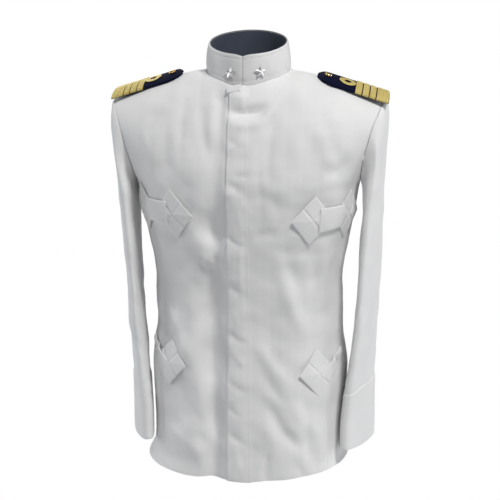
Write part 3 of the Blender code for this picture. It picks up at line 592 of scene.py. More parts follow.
def unevenness(points, size):
    """The slight waviness that all worn cloth has, from fixed waves in many directions."""
    x, y, z = points[..., 0], points[..., 1], points[..., 2]
    total = np.zeros(x.shape)
    for k in range(24):
        wavelength = 1.3 + 0.38 * k
        turn = GOLDEN_ANGLE * k
        lean = 0.6 * math.sin(1.7 * k)
        phase = 1.13 * k * k
        run = x * math.cos(turn) + z * math.sin(turn) + y * lean
        total = total + wavelength * np.sin(run * 2 * math.pi / wavelength + phase)
    return total * 0.0016 * size


def fly_hollow(x, z):
    """The hollow that the cloth falls into beside the fly's free edge."""
    slant = (z - FLY_TOP_Z) / (FLY_TOP_Z - HEM_Z) * FLY_FREE_NARROWS
    edge = FLY_FREE_NARROWS - FLY_FREE_X + slant
    deep, away, wide = (smooth(FLY_HOLLOW, name, z) for name in ("deep", "away", "half_width"))
    return -deep * np.exp(-(((x - edge + away) / wide) ** 2))


def edge_roll(points, normals, edges, deep=0.05, reach=0.16):
    """Rolls the named edges of a panel in, as the seam allowance under them pulls."""
    from_start, from_low = distances(points, 1), distances(points, 0)
    reached = {
        "start": from_start,
        "end": from_start[:, -1:] - from_start,
        "bottom": from_low,
        "top": from_low[-1:] - from_low,
    }
    drop = np.zeros(points.shape[:2])
    for name in edges:
        drop = np.maximum(drop, deep * np.exp(-((reached[name] / reach) ** 2)))
    return points - normals * drop[..., None]


def mesh_piece(name, vertices, faces, material, smooth_angle=35.0):
    """An object from points in centimetres, shaded smooth but for its sharp edges."""
    mesh = bpy.data.meshes.new(name)
    mesh.from_pydata((np.asarray(vertices) * CM).tolist(), [], faces)
    mesh.update()
    shape = bmesh.new()
    shape.from_mesh(mesh)
    bmesh.ops.recalc_face_normals(shape, faces=shape.faces)
    shape.to_mesh(mesh)
    shape.free()
    mesh.polygons.foreach_set("use_smooth", [True] * len(mesh.polygons))
    mesh.set_sharp_from_angle(angle=math.radians(smooth_angle))
    mesh.materials.append(material)
    item = bpy.data.objects.new(name, mesh)
    bpy.context.scene.collection.objects.link(item)
    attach(item, "root")
    return item


def stiff_piece(part, kind, label, vertices, faces, material, slot, smooth_angle):
    """The piece PART_KIND_LABEL over the stiff CAD node PART_LABEL."""
    item = mesh_piece(f"{part}_{kind}_{label}", vertices, faces, material, smooth_angle)
    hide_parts(f"{part}_{label}")


def grid_faces(rows, columns, wrap, offset=0, flip=False):
    """Quads of a grid of points that are numbered row by row."""
    i = np.arange(rows - 1)[:, None]
    j = np.arange(columns if wrap else columns - 1)[None, :]
    k = (j + 1) % columns
    quads = np.stack(
        [i * columns + j, i * columns + k, (i + 1) * columns + k, (i + 1) * columns + j], axis=-1
    ).reshape(-1, 4)
    if flip:
        quads = quads[:, ::-1]
    return (quads + offset).tolist()


def capped_faces(rows, columns):
    """Faces of rings of points, closed at the first and the last ring."""
    ends = [tuple(range(columns)), tuple(range((rows - 1) * columns, rows * columns))]
    return grid_faces(rows, columns, True) + ends


def shell(outer, inner, wrap=False):
    """Points and faces of the closed thin piece between two grids of points."""
    rows, columns = outer.shape[:2]
    count = rows * columns
    faces = grid_faces(rows, columns, wrap) + grid_faces(rows, columns, wrap, count, True)
    rim = [
        (i * columns + j, i * columns + (j + 1) % columns)
        for i in (0, rows - 1)
        for j in range(columns if wrap else columns - 1)
    ]
    if not wrap:
        rim += [
            (i * columns + j, (i + 1) * columns + j)
            for j in (0, columns - 1)
            for i in range(rows - 1)
        ]
    faces += [(a, b, count + b, count + a) for a, b in rim]
    return np.concatenate([outer.reshape(-1, 3), inner.reshape(-1, 3)]), faces


def cloth(part, outer, normals, wall, material, wrap=False, node=True):
    """A closed thin piece of cloth over its CAD node."""
    vertices, faces = shell(outer, outer - normals * wall, wrap)
    item = mesh_piece(part + "_cloth", vertices, faces, material)
    ring = np.concatenate([outer, outer[:, :1]], axis=1) if wrap else outer
    across = np.linalg.norm(np.diff(ring, axis=1), axis=-1).sum(axis=1).max() * CM
    along = np.linalg.norm(np.diff(outer, axis=0), axis=-1).sum(axis=0).max() * CM
    corners = np.cross(np.diff(ring[:-1], axis=1), np.diff(ring[:, :-1], axis=0))
    area = float(np.linalg.norm(corners, axis=-1).sum()) * CM * CM
    area = min(area, across * along)
    if node:
        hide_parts(part)
    return item


def stitches(name, paths, material, pitch=0.3, length=0.2, thick=0.02):
    """Rows of sewing stitches: small rounded bars that lie on the cloth along each path."""
    vertices, faces = [], []
    sides = 5
    ring = np.arange(sides) * 2 * np.pi / sides
    sections = ((0.0, 0.45, 0.2), (0.22, 1.0, 0.7), (0.78, 1.0, 0.7), (1.0, 0.45, 0.2))
    for path, normals in paths:
        places = distances(path)
        starts = np.arange(pitch / 2, places[-1] - length, pitch)
        if len(starts) < 2:
            continue
        first = read_at(starts, places, path)
        second = read_at(starts + length, places, path)
        up = unit(read_at(starts, places, normals))
        aside = unit(np.cross(up, unit(second - first)))
        for a, b, u, s in zip(first, second, up, aside):
            base = len(vertices)
            for share, wide, lift in sections:
                centre = a + (b - a) * share + u * thick * lift
                for angle in ring:
                    out = s * math.cos(angle) + u * math.sin(angle)
                    vertices.append(centre + out * thick * wide)
            faces += grid_faces(len(sections), sides, True, base)
            faces.append(tuple(range(base + sides - 1, base - 1, -1)))
            faces.append(tuple(range(len(vertices) - sides, len(vertices))))
    mesh_piece(name, np.array(vertices), faces, material, 60.0)


def armhole_places(side, counts):
    """Turns and rises of the armhole at stations from the armpit to the shoulder's tip."""
    angles = curve(np.arange(HALF_ROUND + 1), ARMHOLE_ANGLES, counts)
    x = smooth(ARMHOLE, "x", angles)
    rise = angles / 90 * ARCH
    turn = turn_at(x, rise, side)
    turn = np.where(np.asarray(counts) < 1e-6, 0.0 if side < 0 else 1e-6, turn)
    return np.stack([turn, rise], axis=-1)


def neck_places(side, grow, count=8):
    """Turns and rises of the body where it meets the neck, from the centre to the side."""
    angle = np.radians(np.linspace(0, 90, count))
    x = (NECK_WIDTH + grow) * np.sin(angle)
    y = ((NECK_FRONT if side < 0 else NECK_BACK) + grow) * np.cos(angle)
    low, high = np.zeros(count), np.full(count, ARCH)
    for _ in range(30):  # halves the range of the rise where body and neck meet
        rise = (low + high) / 2
        outside = np.abs(torso(turn_at(x, rise, side), rise, 1)[:, 1]) > y
        low = np.where(outside, rise, low)
        high = np.where(outside, high, rise)
    turn = turn_at(x, high, side)
    turn[0] = side * 90.0
    return np.stack([turn, high], axis=-1)


def hem_rise(turn, hand):
    """The hem's rise at a turn. It hangs a little higher at the wearer's left side."""
    lift = HEM_LIFT if hand > 0 else 0.0
    return HEM_Z - ARMPIT_Z + lift * np.cos(np.radians(turn))


def hem_places(start, end, count, hand):
    """Turns and rises along the hem, from one turn to another."""
    turn = np.linspace(start, end, count)
    return np.stack([turn, hem_rise(turn, hand)], axis=-1)


def seam_places(side, hand):
    """Turns and rises of a side seam, from the hem to the armhole."""
    low = float(hem_rise(40.0, hand)) + ARMPIT_Z
    levels = np.linspace(low, ARMPIT_Z - 0.8, 12)
    x = smooth(SEAM, "front" if side < 0 else "back", levels)
    rise = levels - ARMPIT_Z
    turn = turn_at(x, rise, side)
    rise[0] = hem_rise(turn[0], hand)
    places = np.stack([turn, rise], axis=-1)
    return np.vstack([places, armhole_places(side, np.array([SEAM_AT]))])


def body_grid(side, hand):
    """The rough grid of places of a front or a back panel, as its CAD solid has it."""
    arm = armhole_places(side, np.arange(SEAM_AT + 1, HALF_ROUND + 1))
    outer = np.vstack([seam_places(side, hand), arm])
    neck = neck_places(side, SEAM_GAP)
    across = np.linspace(NECK_WIDTH + SEAM_GAP, TIP_X, 8)
    shoulder = np.stack([turn_at(across, np.full(8, ARCH), side), np.full(8, ARCH)], axis=-1)
    shoulder[-1] = outer[-1]
    neck[-1] = shoulder[0]
    top = np.vstack([neck, shoulder[1:]])
    centre_rise = np.linspace(HEM_Z - ARMPIT_Z, neck[0][1], len(outer))
    centre = [(side * 90.0, rise) for rise in centre_rise]
    hem = hem_places(side * 90.0, outer[0][0], len(top), hand)
    return coons(hem, top, centre, outer), centre_rise


def dressed(turn, rise, hand):
    """Points and normals of the body's cloth with its narrow creases.

    They fade at the armholes, the shoulder seams and the neck, where other pieces meet the cloth.
    """
    points = torso(turn, rise, hand)
    normals = torso_normal(turn, rise, hand)
    x, y, z = points[..., 0], points[..., 1], points[..., 2]
    side = np.where(turn <= 0, FRONT, BACK)
    out = crease_out(x, z, side)
    out = out + np.where(side < 0, fly_hollow(x, z), 0.0)
    out = out + unevenness(points, BODY_WAVES)
    fade = np.clip((CREASES_END_X - np.abs(x)) / 3.0, 0, 1)
    fade = fade * np.clip((ARCH - rise) / 6.0, 0, 1)
    from_neck = np.hypot(x / NECK_WIDTH, y / np.where(side < 0, NECK_FRONT, NECK_BACK))
    fade = fade * np.clip((from_neck - 1.02) / 0.22, 0, 1)
    return points + normals * (out * fade)[..., None], normals


def panel(part, rough, rows_each, columns_each, hand, bottom):
    """A panel of the body from its rough grid, with the creases and rolled edges of its cloth."""
    rows, columns = rough.shape[0] - 1, rough.shape[1] - 1
    places = finer(rough, stations(rows, rows_each), stations(columns, columns_each))
    points, normals = dressed(places[..., 0], places[..., 1], hand)
    points = edge_roll(points, normals, ("start", "end", "top"))
    if bottom:
        points = edge_roll(points, normals, ("bottom",), 0.04, 0.3)
    cloth(part, points, normals, CLOTH, white)


def body_cloth(hand, label):
    """The fronts and the backs of the tunic, and the panels under the arms."""
    for name, side in (("front_", FRONT), ("back_", BACK)):
        panel(name + label, body_grid(side, hand)[0], 7, 6, hand, True)
    front, back = seam_places(FRONT, hand), seam_places(BACK, hand)
    arm_front = armhole_places(FRONT, np.arange(SEAM_AT, -1, -1))
    arm_back = armhole_places(BACK, np.arange(1, SEAM_AT + 1))
    top = np.vstack([arm_front, arm_back])
    hem = hem_places(front[0][0], back[0][0], len(top), hand)
    panel("side_" + label, coons(hem, top, front, back), 6, 5, hand, False)


def sleeve_section(level, count_at, nearer):
    """Points of the sleeve's outside at heights and at stations round it."""
    level, count_at = together(level, count_at)
    value = {name: smooth(SLEEVE, name, level) for name in SLEEVE}
    angle = np.pi + count_at * 2 * np.pi / ROUND
    c, s = np.cos(angle), np.sin(angle)
    p = value["half_thick"] * np.sign(c) * np.abs(c) ** (2 / 2.4)
    q = value["half_depth"] * np.sign(s) * np.abs(s) ** (2 / 2.1)
    toe = np.radians(value["toe_in"])
    near = nearer * np.clip((level + 57.0) / 15.0, 0.0, 1.0)
    x = value["x"] - near + p * np.cos(toe) + q * np.sin(toe)
    y = value["y"] + q * np.cos(toe) - p * np.sin(toe)
    z = level - value["tilt"] * (y - value["y"])
    return np.stack([x, y, z], axis=-1)


def sleeve_points(count_at, nearer, head, levels):
    """The sleeve's outside at stations round it: rows of its head, then rows of its levels."""
    count_at = np.asarray(count_at, float) % ROUND
    to_front = np.minimum(count_at, ROUND - count_at)
    front = torso(*armhole_places(FRONT, to_front).T, 1)
    back = torso(*armhole_places(BACK, to_front).T, 1)
    first = np.where((count_at <= HALF_ROUND)[:, None], front, back)
    away = np.array([1.0, 0.0, -0.3])
    first = first + away / np.linalg.norm(away) * SEAM_GAP
    second = sleeve_section(levels[0], count_at, nearer)
    tip = armhole_places(FRONT, np.array([float(HALF_ROUND)]))
    low, high = ARMPIT_Z, float(torso(*tip.T, 1)[0, 2])
    up = np.clip((first[:, 2] - low) / (high - low), 0, 1)[:, None]
    leave = unit((1 - up) * ARMPIT_WAY + up * SHOULDER_WAY)
    reach = np.linalg.norm(second - first, axis=1, keepdims=True)
    blend = np.clip((up - 0.5) / 0.2, 0, 1)
    start = first + leave * (blend * 1.9 + (1 - blend) * 0.3 * reach)
    finish = second + np.array([0.0, 0.0, 1.0]) * reach * 0.42
    rows = [
        (1 - t) ** 3 * first
        + 3 * t * (1 - t) ** 2 * start
        + 3 * t * t * (1 - t) * finish
        + t ** 3 * second
        for t in head
    ]
    rows += [sleeve_section(level, count_at, nearer) for level in levels]
    return np.array(rows)


def sleeve_creases(points, count_at, hand):
    """How far the creases of a sleeve push its cloth out."""
    total = np.zeros(points.shape[:2])
    around = np.broadcast_to(np.asarray(count_at, float)[None] % ROUND, total.shape)
    z = points[..., 2]
    for which, at, level, half_round, half_tall, slant, out in SLEEVE_CREASES:
        if which not in (0, hand):
            continue
        apart = (around - at + HALF_ROUND) % ROUND - HALF_ROUND
        along = z - level - slant * apart
        total = total + out * np.exp(-((apart / half_round) ** 2) - (along / half_tall) ** 2)
    return total


def sleeve_surface(count_at, hand, head, levels):
    """Points and outward normals of a sleeve at +X with its creases."""
    nearer = NEARER if hand < 0 else 0.0
    step = 0.05
    points = sleeve_points(count_at, nearer, head, levels)
    before = sleeve_points(np.asarray(count_at) - step, nearer, head, levels)
    after = sleeve_points(np.asarray(count_at) + step, nearer, head, levels)
    around = sleeve_points(np.arange(0, ROUND, 2.0), nearer, head, levels)
    normals = unit(np.cross(after - before, np.gradient(points, axis=0)))
    normals = outward(points, normals, around.mean(axis=1, keepdims=True))
    out = sleeve_creases(points, count_at, hand)
    out = out + unevenness(points + np.array([7.0 * hand, 0.0, 0.0]), SLEEVE_WAVES)
    return points + normals * out[..., None], normals


def sleeve_cloth(hand, label):
    """The two pieces of a sleeve."""
    head = np.concatenate([[0, 0.004, 0.01, 0.02], np.linspace(0.035, 0.96, 26)])
    levels = np.linspace(SLEEVE_TOP_Z, SLEEVE_END_Z, 110)
    pieces = (
        ("sleeve_upper_", FRONT_SEAM_AT, BACK_SEAM_AT),
        ("sleeve_under_", BACK_SEAM_AT, ROUND + FRONT_SEAM_AT),
    )
    for name, start, end in pieces:
        count_at = start + stations(end - start, 5)
        points, normals = sleeve_surface(count_at, hand, head, levels)
        points = edge_roll(points, normals, ("start", "end", "bottom"), 0.045, 0.15)
        cloth(name + label, mirrored(points, hand), mirrored(normals, hand), CLOTH, white)


def cuff_lift(count_at):
    """How much higher the cuff's upper edge stands at each station round the sleeve."""
    wave = np.cos(count_at / ROUND * 4 * np.pi) * 0.5
    return wave + np.exp(-(((count_at - 21) / 3.0) ** 2)) * 1.3


def cuff(hand, label):
    """The turned-up cuff, all round the sleeve's end, with a row of stitches along its top."""
    nearer = NEARER if hand < 0 else 0.0
    count_at = np.arange(0, ROUND, 0.2)
    share = np.concatenate([[0, 0.006, 0.014, 0.025], np.linspace(0.04, 0.99, 30), [1.0]])
    top = SLEEVE_END_Z + CUFF_HEIGHT + cuff_lift(count_at)
    levels = top[None] + (SLEEVE_END_Z - 0.05 - top[None]) * share[:, None]
    around = np.broadcast_to(count_at[None], levels.shape)
    points = sleeve_section(levels, around, nearer)
    across = np.roll(points, -1, axis=1) - np.roll(points, 1, axis=1)
    normals = unit(np.cross(across, np.gradient(points, axis=0)))
    normals = outward(points, normals, points.mean(axis=1, keepdims=True))
    points = points + normals * sleeve_creases(points, count_at, hand)[..., None]
    outside = points + normals * (SEAM_GAP + CUFF_WALL)
    outside = edge_roll(outside, normals, ("bottom", "top"), 0.05, 0.18)
    outside, normals = mirrored(outside, hand), mirrored(normals, hand)
    cloth("cuff_" + label, outside, normals, CUFF_WALL, white,
          wrap=True)
    sewn_row = 6
    closed = [np.concatenate([grid[sewn_row], grid[sewn_row][:1]]) for grid in (outside, normals)]
    threads.append(tuple(closed))


def neck_ring(count):
    """The collar seam on the body, all round from the centre front to the wearer's left."""
    front = torso(*neck_places(FRONT, 0.0, count).T, 1)
    back = torso(*neck_places(BACK, 0.0, count).T, 1)
    half = np.vstack([front, back[-2::-1]])
    return np.vstack([half, mirrored(half[-2:0:-1], -1)])


def ring_angles(count):
    """Angles round the neck that belong to the points of neck_ring."""
    quarter = np.linspace(0, 90, count)
    half = np.concatenate([quarter, 180 - quarter[-2::-1]])
    return np.radians(np.concatenate([half, 360 - half[-2:0:-1]]))


def collar_grid(drop, lower, share):
    """The collar's outside: rows from its seam to its top edge, closing at the centre front.

    drop is how much lower its top edge lies, and lower how far its foot goes below the seam.
    """
    count = 40
    base = neck_ring(count)
    foot = np.vstack([base, base[:1]])
    foot[:, 2] -= lower
    angle = np.append(ring_angles(count), 2 * math.pi)
    x = COLLAR_TOP_WIDTH * np.sin(angle)
    y = -np.cos(angle)
    y = np.where(y < 0, y * COLLAR_TOP_FRONT, y * COLLAR_TOP_BACK)
    z = COLLAR_TOP_Z + COLLAR_TOP_TILT * y - drop
    from_front = np.minimum(angle, 2 * math.pi - angle) * 7
    z = z - COLLAR_NOTCH * np.clip(1 - from_front / 1.6, 0, 1) ** 1.5
    top = np.stack([x, y, z], axis=-1)
    share = np.asarray(share, float)[:, None, None]
    straight = (1 - share) * foot[None] + share * top[None]
    bow = 0.12 * np.sin(np.pi * share)
    out = np.stack([np.sin(angle), -np.cos(angle), np.zeros_like(angle)], axis=-1)
    return straight + bow * out[None], out, angle


def part_ends(grid, gap):
    """Draws the two ends of a collar's grid apart where they meet at the centre front."""
    grid[:, 0] += unit(grid[:, 1] - grid[:, 0]) * gap
    grid[:, -1] += unit(grid[:, -2] - grid[:, -1]) * gap


def collar_cloth():
    """The stand collar with its stitched edge, and the dark lining inside it."""
    share = np.concatenate([np.linspace(0, 0.95, 26), [0.965, 0.98, 0.992, 1.0]])
    grid, out, angle = collar_grid(0.0, COLLAR_FOOT, share)
    wave = 0.07 * np.sin(angle * 5 + 0.7) * np.sin(np.pi * share)[:, None]
    wave = wave + 0.05 * np.sin(angle * 9 + 2.1) * np.sin(np.pi * share)[:, None]
    wave = wave + unevenness(grid, COLLAR_WAVES)
    bands = np.exp(-(((share - 0.17) / 0.03) ** 2)) + np.exp(-(((share - 0.88) / 0.02) ** 2))
    wave = wave - 0.06 * bands[:, None]
    normals = np.broadcast_to(out[None], grid.shape).copy()
    grid = grid + normals * wave[..., None]
    part_ends(grid, 0.02)
    grid[:, :14] -= normals[:, :14] * (0.13 * np.linspace(1, 0, 14) ** 2)[None, :, None]
    grid[:, -9:] += normals[:, -9:] * (0.10 * np.linspace(0, 1, 9) ** 2)[None, :, None]
    grid = edge_roll(grid, normals, ("top", "start", "end"), 0.07, 0.13)
    cloth("collar", grid, normals, COLLAR_WALL, stiff)
    for sewn_row in (24, 3):
        threads.append((grid[sewn_row, 3:-3], normals[sewn_row, 3:-3]))
    lower = COLLAR_FOOT + LINING_BACK * ((1 - np.cos(angle)) / 2) ** 1.5
    inner, out, _ = collar_grid(COLLAR_FOOT, lower, np.linspace(0, 1, 20))
    inner = inner - out[None] * (COLLAR_WALL + SEAM_GAP)
    part_ends(inner, SEAM_GAP)
    normals = np.broadcast_to(out[None], inner.shape)
    item = cloth("collar_lining", inner, normals, LINING_WALL, lining)


def collar_tab():
    """The small tab that shows under the collar's end on the wearer's right."""
    top = neck_places(FRONT, 0.0)[0][1]
    x, rise = np.meshgrid(np.linspace(0.15, 2.35, 16), top + np.linspace(-1.08, -0.02, 12))
    turn = turn_at(x, rise, FRONT)
    normals = torso_normal(turn, rise, -1)
    points = torso(turn, rise, -1) + normals * 0.44
    points = edge_roll(points, normals, ALL_EDGES, 0.05, 0.08)
    cloth("collar_tab", points, normals, 0.12, white, node=False)


def placket_cloth():
    """The fly's front strip, free and proud at one edge and stitched down flat at the other."""
    centre_rise = body_grid(FRONT, 1)[1]
    levels = np.interp(np.linspace(0, 1, 220), np.linspace(0, 1, len(centre_rise)), centre_rise)
    levels[-1] -= 0.25
    share = ((levels - levels[0]) / (levels[-1] - levels[0]))[:, None]
    left = FLY_FREE_X - FLY_FREE_NARROWS * share
    right = FLY_SEWN_X - FLY_SEWN_NARROWS * share
    over = np.concatenate([[0, 0.01, 0.025, 0.05], np.linspace(0.08, 0.94, 26), [0.97, 1.0]])
    x = -left + (left + right) * over[None]
    rise = np.broadcast_to(levels[:, None], x.shape)
    turn = turn_at(np.abs(x), rise, FRONT)
    at_right, at_left = dressed(turn, rise, -1), dressed(turn, rise, 1)
    points, normals = (np.where((x < 0)[..., None], a, b) for a, b in zip(at_right, at_left))
    normals = unit(normals)
    z = points[..., 2]
    lift = FLY_PROUD - FLY_SINKS * np.clip((over[None] - 0.35) / 0.6, 0, 1) ** 1.3
    dimples = np.zeros(x.shape)
    for fx, fz, wide, tall, out in PLACKET_DIMPLES:
        dimples = dimples + out * np.exp(-(((x - fx) / wide) ** 2) - ((z - fz) / tall) ** 2)
    groove = -0.02 * np.exp(-(((x - right + 0.55) / 0.07) ** 2))
    points = points + normals * (lift + dimples + groove)[..., None]
    points = edge_roll(points, normals, ("start", "top", "bottom"), 0.05, 0.12)
    cloth("placket", points, normals, CLOTH, white)
    for sewn_column in (6, 25):
        threads.append((points[4:-4, sewn_column], normals[4:-4, sewn_column]))


def walk(turn, rise, distance, hand):
    """The turn that lies a distance farther round the body at the same level."""
    steps = 16
    for _ in range(steps):
        step = torso(turn + 0.2, rise, hand) - torso(turn, rise, hand)
        turn = turn + distance / steps / (np.linalg.norm(step, axis=-1) / 0.2)
    return turn


def patch(part, hand, label, centre, outline, count, lift, relief):
    """A pocket's thin piece on the body, with its folded relief and a row of stitches all round."""
    x, z = centre
    corners = np.array(outline, float)
    ends = np.array([0, 0.012, 0.03, 0.055])
    across = np.concatenate([ends, np.linspace(0.09, 0.91, count), 1 - ends[::-1]])
    u, v = across[None, :, None], across[:, None, None]
    flat = (1 - v) * ((1 - u) * corners[0] + u * corners[1])
    flat = flat + v * ((1 - u) * corners[3] + u * corners[2])
    rise = z - ARMPIT_Z + flat[..., 1]
    start = turn_at(np.full(rise.shape, x), np.full(rise.shape, z - ARMPIT_Z), FRONT)
    turn = walk(start, rise, flat[..., 0], hand)
    normals = torso_normal(turn, rise, hand)
    out = relief(*np.meshgrid(across, across))
    points = torso(turn, rise, hand) + normals * (lift + PATCH + out)[..., None]
    points = edge_roll(points, normals, ALL_EDGES, 0.05, 0.10)
    cloth(f"{part}_{label}", points, normals, PATCH, white)
    inset = 6
    middle = len(across) // 2
    for row in (points[inset, inset:-inset], points[-inset - 1, inset:-inset],
                points[inset:-inset, inset], points[inset:-inset, -inset - 1]):
        threads.append((row, np.broadcast_to(normals[middle, middle], row.shape)))


def folded(u, v):
    """Four folded squares over a level ridge, so that the upper ones catch the light."""
    cross = np.minimum(np.abs(u - 0.5), np.abs(v - 0.5))
    groove = -0.12 * np.exp(-((cross / 0.022) ** 2))
    return groove + 0.30 * (1 - np.abs(v - u)) ** 1.1


def lipped(u, v):
    """A welt: rounded across, with the slit between its two lips."""
    slit = -0.34 * np.exp(-(((v - 0.66) / 0.07) ** 2))
    return 0.12 * np.sin(np.pi * v) + slit


def plain_band(u, v):
    """A folded band, rounded across."""
    return 0.10 * np.sin(np.pi * v) ** 0.7


def diamond(x, z):
    """The corners of a pocket's diamond round a place."""
    wide, tall = DIAMOND_WIDE, DIAMOND_TALL
    return ((x - wide, z), (x, z - tall), (x + wide, z), (x, z + tall))


def pockets(hand, label):
    """The welted chest pocket with two diamonds and the slanting hip pocket with one."""
    low = SEAM_GAP + 0.10
    high = low + PATCH + 0.20
    chest, hip = POCKETS[label]
    welt = ((1.2, -2.1), (5.6, -1.7), (5.8, 2.1), (1.0, 2.0))
    slant = ((0.0, -0.3), (0.7, -1.1), (5.9, 2.7), (5.3, 3.5))
    pieces = (
        ("chest_diamond_inner", chest, diamond(0, 0), 34, low, folded),
        ("chest_diamond_outer", chest, diamond(7.3, 0.2), 34, low, folded),
        ("chest_welt", chest, welt, 26, high, plain_band),
        ("hip_diamond", hip, diamond(0, 0), 34, low, folded),
        ("hip_welt", hip, slant, 26, high, lipped),
    )
    for part, *rest in pieces:
        patch(part, hand, label, *rest)


def board_frame(hand, along, across, up):
    """A point in the board's own directions: along it, across it to the back and out of it."""
    along, across, up = together(along, across, up)
    c, s = math.cos(math.radians(BOARD_ROLL)), math.sin(math.radians(BOARD_ROLL))
    slope = math.atan(BOARD_SLOPE)
    start = BOARD_INNER_X + (BOARD_SHIFT if hand > 0 else 0.0)
    x = start + along * math.cos(slope)
    z = float(smooth(CREST, "front", start)) - along * math.sin(slope)
    out = np.array([math.sin(slope) * c, -s, math.cos(slope) * c])
    base = np.stack([x, BOARD_Y + across * c, z + across * s], axis=-1)
    return mirrored(base + out * (up + BOARD_LIFT)[..., None], hand)


def board_top(along, across):
    """The height of the board's crowned top over its flat underside."""
    rise = np.clip(np.asarray(along, float) / 1.5, 0, 1)
    rise = rise * rise * (3 - 2 * rise)
    share = np.clip(np.abs(across) / BOARD_HALF_WIDTH, 0, 1)
    return BOARD_THICK + BOARD_CROWN * rise * (1 - share ** 2)


def board(hand, label):
    """The stiff navy board: a crowned, rounded section along its outline, capped at both ends."""
    alongs = np.concatenate([[0.0, 0.03, 0.1], np.linspace(0.2, 2.6, 14),
                             np.linspace(2.9, BOARD_LENGTH - 0.2, 40),
                             BOARD_LENGTH - np.array([0.1, 0.03, 0.0])])
    halves = smooth(BOARD, "half_width", alongs)
    radius = 0.09
    middle = BOARD_THICK / 2
    loop = []
    for sx, sz, start in ((1, 1, 0), (-1, 1, 1), (-1, -1, 2), (1, -1, 3)):
        for corner in np.linspace(0, math.pi / 2, 5):
            angle = corner + start * math.pi / 2
            loop.append((sx, sz, radius * (math.cos(angle) - sx), radius * (math.sin(angle) - sz)))
        if start == 0:
            loop += [(share, 1.0, 0.0, 0.0) for share in np.linspace(0.9, -0.9, 15)]
    share_x, share_z, round_x, round_z = np.array(loop).T
    vertices = []
    for along, half in zip(alongs, halves):
        from_end = min(along, BOARD_LENGTH - along)
        pinch = radius * (1 - math.sqrt(max(0.0, 1 - (1 - min(from_end / 0.1, 1)) ** 2)))
        across = share_x * (half - pinch) + round_x
        up = middle + share_z * (middle - pinch) + round_z
        crown = (board_top(along, across) - BOARD_THICK) * (share_z > 0)
        vertices.append(board_frame(hand, along, across, up + crown))
    faces = capped_faces(len(vertices), len(loop))
    stiff_piece("board", "cloth", label, np.concatenate(vertices), faces, navy, "navy_cloth", 40.0)


def lace_band(hand, label, name, start, end):
    """A band of gold lace over the board: ribbed across, and turned down over its two edges."""
    half = BOARD_HALF_WIDTH + 0.03
    wide = end - start
    along = np.linspace(0, 1, 33)
    across = np.concatenate([[-1.0, -1.0], np.linspace(-1, 1, 171), [1.0, 1.0]])
    down = np.zeros(len(across))
    down[[0, -1]] = 0.20
    down[[1, -2]] = 0.06
    a, b = np.meshgrid(along, across, indexing="ij")
    low = board_top(start + a * wide, b * half) + LACE_LOW
    ribs = 0.5 + 0.5 * np.cos(a * 2 * math.pi * max(2, round(wide / 0.3)))
    weave = 0.5 + 0.5 * np.cos(b * half * 2 * math.pi / 0.14 + np.abs(a - 0.5) * 10)
    edge = np.minimum(1, np.minimum(a, 1 - a) * 12)
    up = low + 1.7 * LACE * (0.45 + 0.55 * edge) * (0.40 + 0.42 * ribs + 0.18 * weave)
    outer = board_frame(hand, start + a * wide, b * half, up - down[None])
    inner_up = np.maximum(low - 0.01, 0) - down[None]
    inner = board_frame(hand, start + a * wide, b * (half - 0.025 * (down[None] > 0)), inner_up)
    stiff_piece(name, "lace", label, *shell(outer, inner), gold, "gold_lace", 60.0)


def curl(hand, label):
    """The ring of lace beside the innermost band, ribbed round its turn."""
    round_it = np.linspace(0, 2 * math.pi, 120, endpoint=False)
    section = np.linspace(0, 2 * math.pi, 16, endpoint=False)
    a, b = np.meshgrid(round_it, section, indexing="ij")
    rib = 1 + 0.25 * np.cos(a * 30 + 3 * np.cos(b))
    radius = (CURL_HOLE + CURL_RADIUS) / 2 + (CURL_RADIUS - CURL_HOLE) / 2 * np.cos(b)
    along, across = CURL_AT + radius * np.cos(a), radius * np.sin(a)
    low = board_top(along, across) + LACE_LOW
    up = low + LACE * 0.7 + LACE * 0.85 * np.sin(b) * rib * (np.sin(b) > 0) - 0.05 * (np.sin(b) < 0)
    points = board_frame(hand, along, across, up).reshape(-1, 3)
    rows, columns = a.shape
    faces = (np.array(grid_faces(rows + 1, columns, True)) % len(points)).tolist()
    stiff_piece("curl", "lace", label, points, faces, gold, "gold_lace", 60.0)


def button(hand, label):
    """A gilt button: a plain dome inside a rim like a rope."""
    low = float(board_top(BUTTON_AT, 0.0)) + LACE_LOW
    profile = ((0.50, 0.0), (0.58, 0.03), (BUTTON_RADIUS, 0.08), (BUTTON_RADIUS, 0.13), (0.58, 0.18),
               (0.53, 0.19), (0.49, 0.16), (0.46, 0.16), (0.42, 0.21), (0.35, 0.27), (0.26, 0.32),
               (0.15, 0.355), (0.07, 0.365))
    around = np.linspace(0, 2 * math.pi, 72, endpoint=False)
    vertices = []
    for r, h in profile:
        rope = 0.022 * np.cos(around * 24 + h * 30) if r > 0.5 and h > 0.02 else 0.0
        r = r + rope * 0.7
        up = low + h + rope
        vertices.append(board_frame(hand, BUTTON_AT + r * np.cos(around), r * np.sin(around), up))
    faces = capped_faces(len(vertices), len(around))
    stiff_piece("button", "dome", label, np.concatenate(vertices), faces, gilt, "gilt_metal", 50.0)


